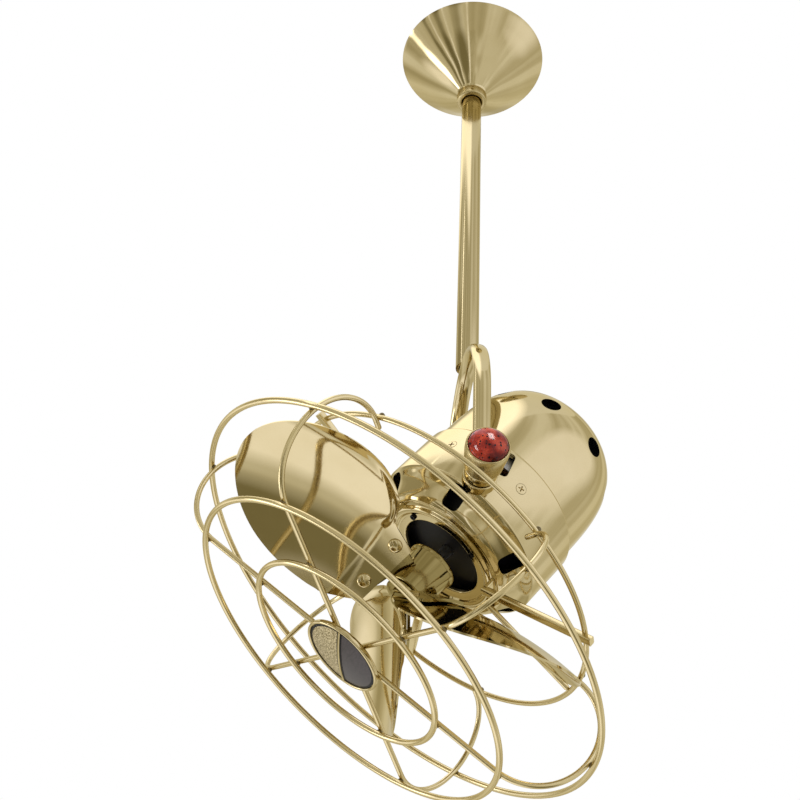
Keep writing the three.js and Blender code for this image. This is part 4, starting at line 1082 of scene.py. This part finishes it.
def make_hub_nut():
    low = HUB_FRONT + CLAMP_THICKNESS + 2 * GAP
    top, flange = low + NUT_HEIGHT, low + NUT_FLANGE
    roof = low + NUT_HEIGHT / 2 + NUT_ROOF
    cap = arc(0, top - NUT_RADIUS, NUT_RADIUS, 0, 88, 12)
    outline = soften([
        (HUB_BORE, low), (NUT_RADIUS + NUT_FLANGE, low, 0.4), (NUT_RADIUS + NUT_FLANGE, flange, 0.5),
        (NUT_RADIUS, flange, 0.4), *cap, (0, top), (0, roof), (HUB_BORE, roof)])
    piece("hub_cap_nut", lathe(outline, 64), HEAD, "rotor", SHADED_HUB_BRASS, ["hub_nut"])


# Cage


def rib_line():
    """A straight spoke, then two quarter ellipses round the wide ring to the back ring."""
    spoke = RIB_BEND - RIB_START
    line = [Vector((RIB_START + spoke * i / 10, 0, RIB_PLANE)) for i in range(10)]
    turns = [pi / 2 * i / BEND_STEPS for i in range(BEND_STEPS + 1)]
    for a in turns:
        line.append(Vector((RIB_BEND + (RIB_WAIST - RIB_BEND) * sin(a), 0,
                            WIDE_PLANE + (RIB_PLANE - WIDE_PLANE) * cos(a))))
    for a in turns[1:]:
        line.append(Vector((BACK_RING + (RIB_WAIST - BACK_RING) * cos(a), 0,
                            WIDE_PLANE - (WIDE_PLANE - RIB_BACK) * sin(a))))
    return line + [Vector((BACK_RING - RIB_TAIL, 0, RIB_BACK))]


def make_cage():
    for name, radius, wire, plane in RINGS:
        shape = tube(ring_line(radius, plane), wire, looped=True)
        piece(f"guard_ring_{name}", shape, HEAD, "head", LIT_WIRE, [f"cage_ring_{name}"])
    rib = tube(rib_line(), RIB_WIRE, 18)
    for number, turn in enumerate(around(RIB_COUNT), 1):
        piece(f"guard_rib_{number}", rib, clock(RIB_CLOCK + turn), "head", LIT_WIRE, [f"cage_rib_{number}"])


def make_supports():
    half = BAR_WIDTH / 2
    section = soften(rectangle(BAR_THICKNESS / 2, half), BAR_ROUNDING)
    bar = loft([[(x, y, BAR_PLANE + z) for z, y in section] for x in BAR_REACHES], capped=True)
    near, far = BAR_REACHES[0], BAR_REACHES[0] + BAR_FOOT
    sole = soften([(near, -half), (far, -half), (far, half), (near, half)], 0.8)
    foot = loft([[(x, y, z) for x, y in sole] for z in (BAR_FOOT_LOW, BAR_PLANE)], capped=True)
    for number, angle in enumerate(BAR_ANGLES, 1):
        piece(f"guard_bar_{number}", bar, clock(angle), "head", LIT_WIRE, [f"cage_support_{number}"])
        piece(f"guard_bar_foot_{number}", foot, clock(angle), "head", LIT_WIRE)


def make_stay():
    start = Vector((STAY_START, 0, PLATE_FACE + STAY_WIRE + GAP))
    end = Vector((BACK_RING - BACK_WIRE, 0, BACK_PLANE))
    stay = tube([start, start.lerp(end, 0.5), end], STAY_WIRE)
    piece("guard_stay", stay, clock(STAY_ANGLE), "head", LIT_WIRE, ["cage_stay"])


def make_braze():
    """Small dark beads of solder where the ribs lie on each ring."""
    bead_verts, bead_faces = lathe(arc(0, 0, BEAD_RADIUS, -90, 90, 8), 16)
    for name, radius, wire, plane in RINGS:
        seat = Vector((radius - wire, 0, plane) if name == "wide" else (radius, 0, plane - wire))
        verts, faces = [], []
        for angle in around(RIB_COUNT):
            turn = turned(RIB_CLOCK + angle - 90, "Z")
            faces += [tuple(index + len(verts) for index in face) for face in bead_faces]
            verts += [turn @ (seat + Vector(v)) for v in bead_verts]
        piece(f"braze_{name}", (verts, faces), HEAD, "head", BRAZE)


# Badge


def crown_height(share):
    """Height of the disc's face at a share of its radius."""
    return BADGE_FLOOR + FIT + DISC_SIDE + DISC_CROWN * (1 - share**2)


def make_badge():
    high, rim = BADGE_LOW + BADGE_DEPTH, BADGE_RIM / 2
    inside = BADGE_RADIUS - BADGE_RIM
    outline = soften([
        (0, BADGE_LOW), (inside, BADGE_LOW, 1.5), (BADGE_RADIUS, BADGE_LOW + BADGE_RIM, 1.5),
        *arc(BADGE_RADIUS - rim, high - rim, rim, 0, 180, 12), (inside, BADGE_FLOOR), (0, BADGE_FLOOR)])
    piece("badge_rim", lathe(outline, 160), HEAD, "head", TURNED, ["badge_cup"])
    face = [(DISC_RADIUS * (1 - i / 16), crown_height(1 - i / 16)) for i in range(17)]
    outline = [(0, BADGE_FLOOR + FIT), (DISC_RADIUS, BADGE_FLOOR + FIT)] + face
    disc = piece("badge_disc", lathe(outline, 128), HEAD, "head", ENAMEL, ["badge_face"])
    split_face(disc.data)


def split_face(disc):
    """Sand-cast brass on one half of the disc, and black painted round the edge of both as the shade in the
    groove between disc and rim.
    """
    for material, _ in (SAND, BLACK):
        disc.materials.append(material)
    back = clock(DISC_SPLIT).inverted()
    for polygon in disc.polygons:
        place = back @ polygon.center
        if place.xy.length > DISC_GROOVE_SHADE * DISC_RADIUS * MM:
            polygon.material_index = 2
        elif place.x > 0:
            polygon.material_index = 1


def make_divider(name, width, rise, finish):
    """A bar along the split that follows the crown of the disc."""
    half, shoulder = width / 2, rise * 0.6
    rows = []
    for i in range(DIVIDER_STEPS + 1):
        share = 2 * i / DIVIDER_STEPS - 1
        y, z = DIVIDER_REACH * share, crown_height(share)
        rows.append([(-half, y, z - DIVIDER_SINK), (half, y, z - DIVIDER_SINK), (half, y, z + shoulder),
                     (half / 2, y, z + rise), (-half / 2, y, z + rise), (-half, y, z + shoulder)])
    piece(name, loft(rows, capped=True), clock(DISC_SPLIT), "head", finish)


# CAD nodes that keep their shape


def dress_nodes():
    finishes = [
        (STEEL, ["ceiling_plate", "plate_screw_left", "plate_screw_right", "rear_shield", "front_bearing",
                 "rear_bearing", "stator_core", "motor_shaft", "rotor_core"]),
        (TURNED, ["collar_screw"]),
        (FIBRE, ["pivot_washer_near", "pivot_washer_far"]),
        (BLACK, ["front_shield", "run_capacitor"] + [f"front_plate_screw_{i}" for i in (1, 2, 3)]),
        (COPPER, ["end_winding_front", "end_winding_rear"]),
    ]
    for (material, _), names in finishes:
        for name in names:
            node = frame["nodes"][name]
            node.data.materials.clear()
            node.data.materials.append(material)


# Studio


def place_object(name, data, place=(0, 0, 0), aim=None):
    """A new object at a place, with its local -Z turned to the aim."""
    obj = bpy.data.objects.new(name, data)
    bpy.context.collection.objects.link(obj)
    obj.location = place
    if aim:
        obj.rotation_mode = "QUATERNION"
        obj.rotation_quaternion = (Vector(aim) - Vector(place)).to_track_quat("-Z", "Y")
    return obj


def studio_object(name, shape, material, place=(0, 0, 0), aim=None):
    mesh = bpy.data.meshes.new(name)
    mesh.from_pydata(shape[0], [], shape[1])
    mesh.materials.append(material)
    return place_object(name, mesh, place, aim)


def flat(half_x, half_y):
    """Verts and faces of a rectangle lying in its own XY plane."""
    return [(x, y, 0) for x, y in rectangle(half_x, half_y)], [(0, 1, 2, 3)]


def toward(turn, rise):
    """Direction at a turn from +Y towards +X and a rise."""
    a, e = radians(turn), radians(rise)
    return Vector((sin(a) * cos(e), cos(a) * cos(e), sin(e)))


def only_reflected(obj):
    """Hides an object from the camera, diffuse light and shadows, so that it only shows in reflections."""
    obj.visible_camera = False
    obj.visible_diffuse = False
    obj.visible_shadow = False


def make_camera():
    data = bpy.data.cameras.new("camera")
    data.sensor_width = CAMERA_SENSOR
    data.lens = CAMERA_LENS
    camera = place_object("camera", data)
    ahead = CAMERA_AHEAD.normalized()
    right = ahead.cross(CAMERA_UP).normalized()
    turn = Matrix((right, right.cross(ahead), -ahead)).transposed().to_4x4()
    camera.matrix_world = Matrix.Translation(CAMERA_AT) @ turn
    bpy.context.scene.camera = camera


def tint(tone):
    """Colour of a card: the darker it is, the warmer."""
    return (tone, tone * min(1.0, 0.86 + 0.14 * tone), tone * min(1.08, 0.35 + 0.65 * tone), 1)


def show(tree, shader, light):
    """Puts a light in the place of a material's usual shader."""
    tree.nodes.remove(shader)
    feed(tree, tree.nodes["Material Output"], {"Surface": light})


def make_card(name, turn, rise, wide, high, tone, away):
    """A card with a soft edge round the fan."""
    half = [away * tan(radians(angle / 2)) for angle in (wide, high)]
    material, tree, shader, at = new_material(name)
    scaled = add(tree, "Mapping", {"Scale": (1 / half[0], 1 / half[1], 1), "Vector": at})
    ball = add(tree, "TexGradient", {"Vector": scaled.outputs["Vector"]}, gradient_type="SPHERICAL")
    soft = ramp(tree, ball.outputs["Fac"], [(0.0, (0, 0, 0)), (CARD_SOFTNESS, (1, 1, 1))])
    clear = add(tree, "BsdfTransparent", {}).outputs["BSDF"]
    glow = add(tree, "Emission", {"Color": tint(tone)}).outputs["Emission"]
    mix = add(tree, "MixShader", {"Fac": soft, 1: clear, 2: glow})
    show(tree, shader, mix.outputs["Shader"])
    only_reflected(studio_object(name, flat(*half), material, CARD_AIM + away * toward(turn, rise), CARD_AIM))


def make_floor():
    material, tree, shader, place = new_material("pale_floor")
    tones = ramp(tree, noise(tree, place, 2, 3), [(0.2, (0.78, 0.78, 0.78)), (0.8, (0.82, 0.82, 0.82))])
    feed(tree, shader, {"Base Color": tones, "Roughness": 0.9})
    studio_object("floor", flat(FLOOR_REACH, FLOOR_REACH), material, (0, 0, FLOOR_LEVEL))


def make_wall():
    """A round wall with a bottom, in soft upright streaks, that only shows in reflections."""
    material, tree, shader, at = new_material("wall")
    stops = [(place, tint(tone)[:3]) for place, tone in WALL_TONES]
    glow = add(tree, "Emission", {"Color": ramp(tree, noise(tree, at, 1, 3, WALL_STREAKS), stops)})
    show(tree, shader, glow.outputs["Emission"])
    rows = [ring_line(radius, z, WALL_SIDES)
            for radius, z in ((WALL_MIDDLE, WALL_LOW), (WALL_RADIUS, WALL_LOW), (WALL_RADIUS, WALL_HIGH))]
    only_reflected(studio_object("wall", loft(rows), material))


def make_world():
    """White where it is seen or reflected, and a softer white as light."""
    scene = bpy.context.scene
    scene.view_settings.view_transform = "Standard"
    scene.world = bpy.data.worlds.new("studio")
    scene.world.use_nodes = True
    tree = scene.world.node_tree
    tree.nodes.clear()
    rays = add(tree, "LightPath", {}).outputs
    seen = rays["Is Camera Ray"]
    for name in ("Is Glossy Ray", "Is Transmission Ray"):
        seen = add(tree, "Math", {0: seen, 1: rays[name]}, operation="MAXIMUM").outputs["Value"]
    soft, white = [add(tree, "Background", {"Color": WHITE, "Strength": strength}).outputs["Background"]
                   for strength in (SOFT_LIGHT, 1)]
    mix = add(tree, "MixShader", {"Fac": seen, 1: soft, 2: white})
    add(tree, "OutputWorld", {"Surface": mix.outputs["Shader"]})


def receivers(name, keep):
    """A collection, for light linking, of the meshes that keep() picks."""
    group = bpy.data.collections.new(name)
    for obj in bpy.context.scene.objects:
        if obj.type == "MESH" and keep(obj.name):
            group.objects.link(obj)
    return group


def make_lamp(name, place, aim, size, power, lit):
    data = bpy.data.lights.new(name, "AREA")
    data.shape = "RECTANGLE"
    data.size, data.size_y = size
    data.energy = power
    lamp = place_object(name, data, place, aim)
    lamp.light_linking.receiver_collection = lit
    return lamp


def make_lights():
    fan = receivers("lit_fan", lambda name: name not in ("floor", "wall"))
    stones = receivers("lit_stones", lambda name: name.startswith("cabochon"))
    for settings in LAMPS:
        make_lamp(*settings, fan).visible_glossy = False
    for name, turn, rise in GLINTS:
        place = Vector(GLINT_AIM) + CARD_AWAY * toward(turn, rise)
        make_lamp(name, place, GLINT_AIM, GLINT_SIZE, GLINT_POWER, stones)
    for i, settings in enumerate(CARDS):
        make_card(*settings, CARD_AWAY + CARD_STEP * i)


make_canopy()
make_collar()
make_rod()
make_yoke()
make_knobs()
make_band()
make_band_screws()
make_dome()
make_front_plate()
make_blades()
make_hub()
make_hub_nut()
make_cage()
make_supports()
make_stay()
make_braze()
make_badge()
make_divider("badge_divider", width=1.9, rise=1.3, finish=TURNED)
make_divider("badge_divider_seat", width=4.4, rise=0.35, finish=BLACK)
dress_nodes()
make_camera()
make_floor()
make_wall()
make_world()
make_lights()
